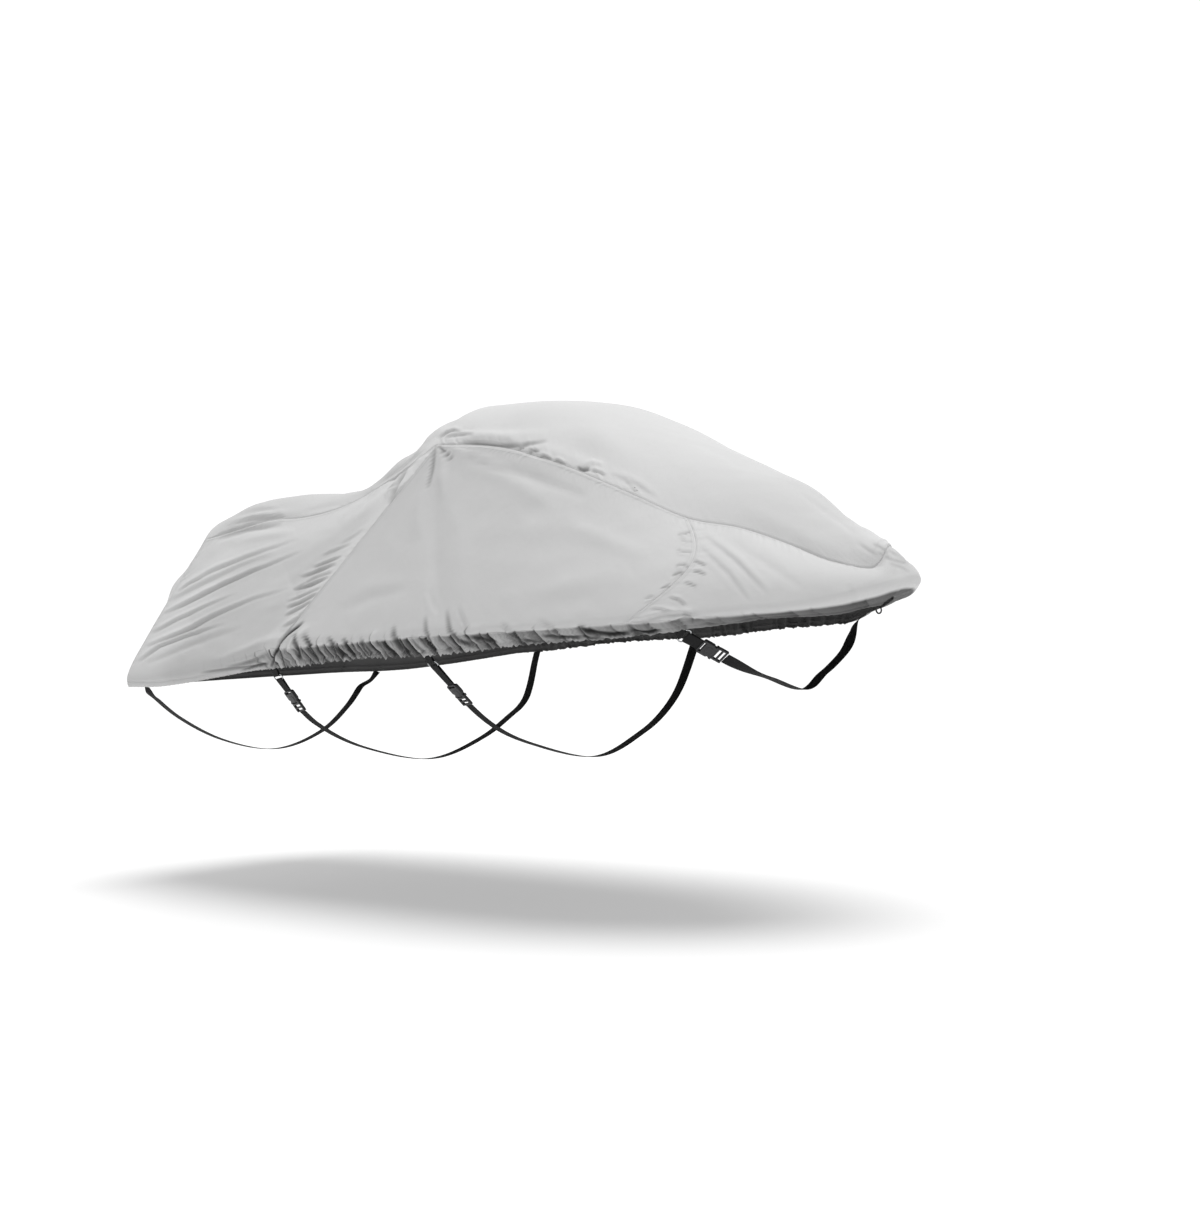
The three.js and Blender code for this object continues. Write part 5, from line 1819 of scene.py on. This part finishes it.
class Studio:
    """White floor and white backdrop, a dim even sky and a soft key light from above and ahead."""

    floor_level = -1.565
    floor_size = 300.0
    floor_tone = (0.62, 0.62, 0.62)
    floor_glow = 0.3
    sky = 0.42
    key = 2.6
    key_from = (0.14, 0.08, 0.82)
    key_spread = 0.8
    backdrop_away = 14.0
    backdrop_half = 16.0
    backdrop_glow = 1.05
    grid = 5

    def build(self) -> None:
        """Makes the floor, the backdrop, the sky and the key light."""
        self.floor()
        self.backdrop()
        world = bpy.data.worlds.new("studio")
        world.use_nodes = True
        back = world.node_tree.nodes["Background"]
        back.inputs[0].default_value = (1, 1, 1, 1)
        back.inputs[1].default_value = self.sky
        bpy.context.scene.world = world
        data = bpy.data.lights.new("key", "SUN")
        data.energy = self.key
        data.angle = self.key_spread
        light = bpy.data.objects.new("key", data)
        light.matrix_world = Vector(self.key_from).to_track_quat("Z", "Y").to_matrix().to_4x4()
        bpy.context.scene.collection.objects.link(light)
        bpy.context.scene.view_settings.view_transform = "Standard"

    @staticmethod
    def plane(name: str, points: Array, looks: Nodes) -> None:
        """Sheet over a grid of points with its finish."""
        ids = np.arange(points.shape[0] * points.shape[1]).reshape(points.shape[:2])
        obj = bpy.data.objects.new(name, mesh_from(name, points.reshape(-1, 3), grid_quads(ids)))
        bpy.context.scene.collection.objects.link(obj)
        obj.data.materials.append(looks.material)

    def floor(self) -> None:
        """Pale level floor with a faint glow."""
        line = np.linspace(-self.floor_size / 2, self.floor_size / 2, self.grid)
        x, y = np.meshgrid(line, line, indexing="ij")
        n = Nodes("pale_floor")
        n.look({"Base Color": self.floor_tone, "Roughness": 0.9, "Specular IOR Level": 0.0})
        n.look({"Emission Color": (1, 1, 1), "Emission Strength": self.floor_glow})
        self.plane("floor", np.stack([x, y, np.full_like(x, self.floor_level)], -1), n)

    def backdrop(self) -> None:
        """Glowing white wall behind the cover, square to the line of sight."""
        ahead = unit(PhotoEye.forward * np.array((1, 1, 0)))
        aside = np.array((-ahead[1], ahead[0], 0))
        over, high = np.meshgrid(np.linspace(-1, 1, self.grid), np.linspace(0, 1, self.grid), indexing="ij")
        points = ahead * self.backdrop_away + aside * (over * self.backdrop_half)[..., None]
        points[..., 2] = self.floor_level + high * self.backdrop_half
        n = Nodes("backdrop_white")
        n.look({"Base Color": (0, 0, 0), "Emission Color": (1, 1, 1), "Emission Strength": self.backdrop_glow})
        self.plane("backdrop", points, n)


# Grid shares of the rear panel: finer low down and toward the peak
REAR_ROWS = ((0, 0), (0.05, 0.03), (0.33, 0.4), (0.82, 1.0), (0.93, 1.3), (1, 2))
REAR_COLUMNS = ((0, 0), (0.04, 0.012), (0.44, 0.6), (0.95, 0.988), (1, 1))
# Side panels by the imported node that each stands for
SIDE_PANELS = {
    "rear_side_starboard": SidePanel(
        "rear_cloth_starboard", 0, PEAK, 244, 198, REAR_CREASES, 11, 1.4, REAR_ROWS, REAR_COLUMNS
    ),
    "mid_side_starboard": SidePanel("mid_cloth_starboard", PEAK, BOW_SEAM, 485, 100, MID_CREASES, 23, 0.9),
    "bow_panel": SidePanel("bow_cloth", BOW_SEAM, LAST - BOW_SEAM, 400, 112, BOW_CREASES, 37, 1.8),
    "mid_side_port": SidePanel("mid_cloth_port", LAST - BOW_SEAM, LAST - PEAK, 220, 90, (), 41, 1.6),
    "rear_side_port": SidePanel("rear_cloth_port", LAST - PEAK, LAST, 180, 90, (), 59, 1.4),
}
BUCKLED_STRAPS = ("strap_rear", "strap_mid", "strap_front")
TAIL_START = (-1.65, -0.50, -0.85)


class Straps:
    """The four under-straps."""

    step = 0.008

    def __init__(self, nodes: dict[str, Object], finishes: Finishes) -> None:
        """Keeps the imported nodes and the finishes."""
        self.nodes = nodes
        self.finishes = finishes

    def build(self) -> None:
        """Makes the fittings and the long webbing of each strap."""
        for strap in BUCKLED_STRAPS:
            fittings = StrapFittings(strap, self.nodes)
            fittings.build(self.finishes)
            self.sling(f"{strap}_sling", f"{strap}_long_webbing", fittings.plug_middle)
        self.sling("strap_tail", "strap_tail_webbing", np.array(TAIL_START))

    def sling(self, node: str, name: str, near: Array) -> None:
        """Webbing along a packed band's own course."""
        middles, acrosses = band_course(self.nodes[node], near)
        mesh = Ribbon().build(name, *fine_course(middles, acrosses, self.step))
        dress(piece(name, mesh), self.finishes.webbing, node)


class NoseRing:
    """Small ring under the hem at the nose."""

    radius = 0.009
    wire = 0.0044
    turns = 48
    sides = 16

    def build(self, node: Object, finish: Material) -> None:
        """Round wire carried round a circle in the plane of the centre line."""
        turn = full_turn(self.turns)
        angle = full_turn(self.sides)
        spoke = np.stack([np.cos(turn), np.zeros_like(turn), np.sin(turn)], -1)
        reach = self.radius + self.wire / 2 * np.cos(angle)
        rings = box_middle(unique_corners(node)[0]) + spoke[:, None] * reach[None, :, None]
        rings[..., 1] += (self.wire / 2 * np.sin(angle))[None, :]
        dress(piece("nose_ring_round", looped_mesh("nose_ring_round", rings)), finish, "nose_ring")


def main() -> None:
    """Builds the camera, the cloth, the straps and the studio."""
    logging.basicConfig(level=logging.INFO, format="%(message)s")
    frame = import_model()
    finishes = Finishes()
    PhotoEye.camera()
    form = CoverForm()
    for node, panel in {"centre_panel": CentrePanel(), **SIDE_PANELS}.items():
        dress(panel.build(form), finishes.cloth, node)
    Straps(frame["nodes"], finishes).build()
    NoseRing().build(frame["nodes"]["nose_ring"], finishes.rubber)
    Studio().build()


if __name__ == "__main__":
    main()
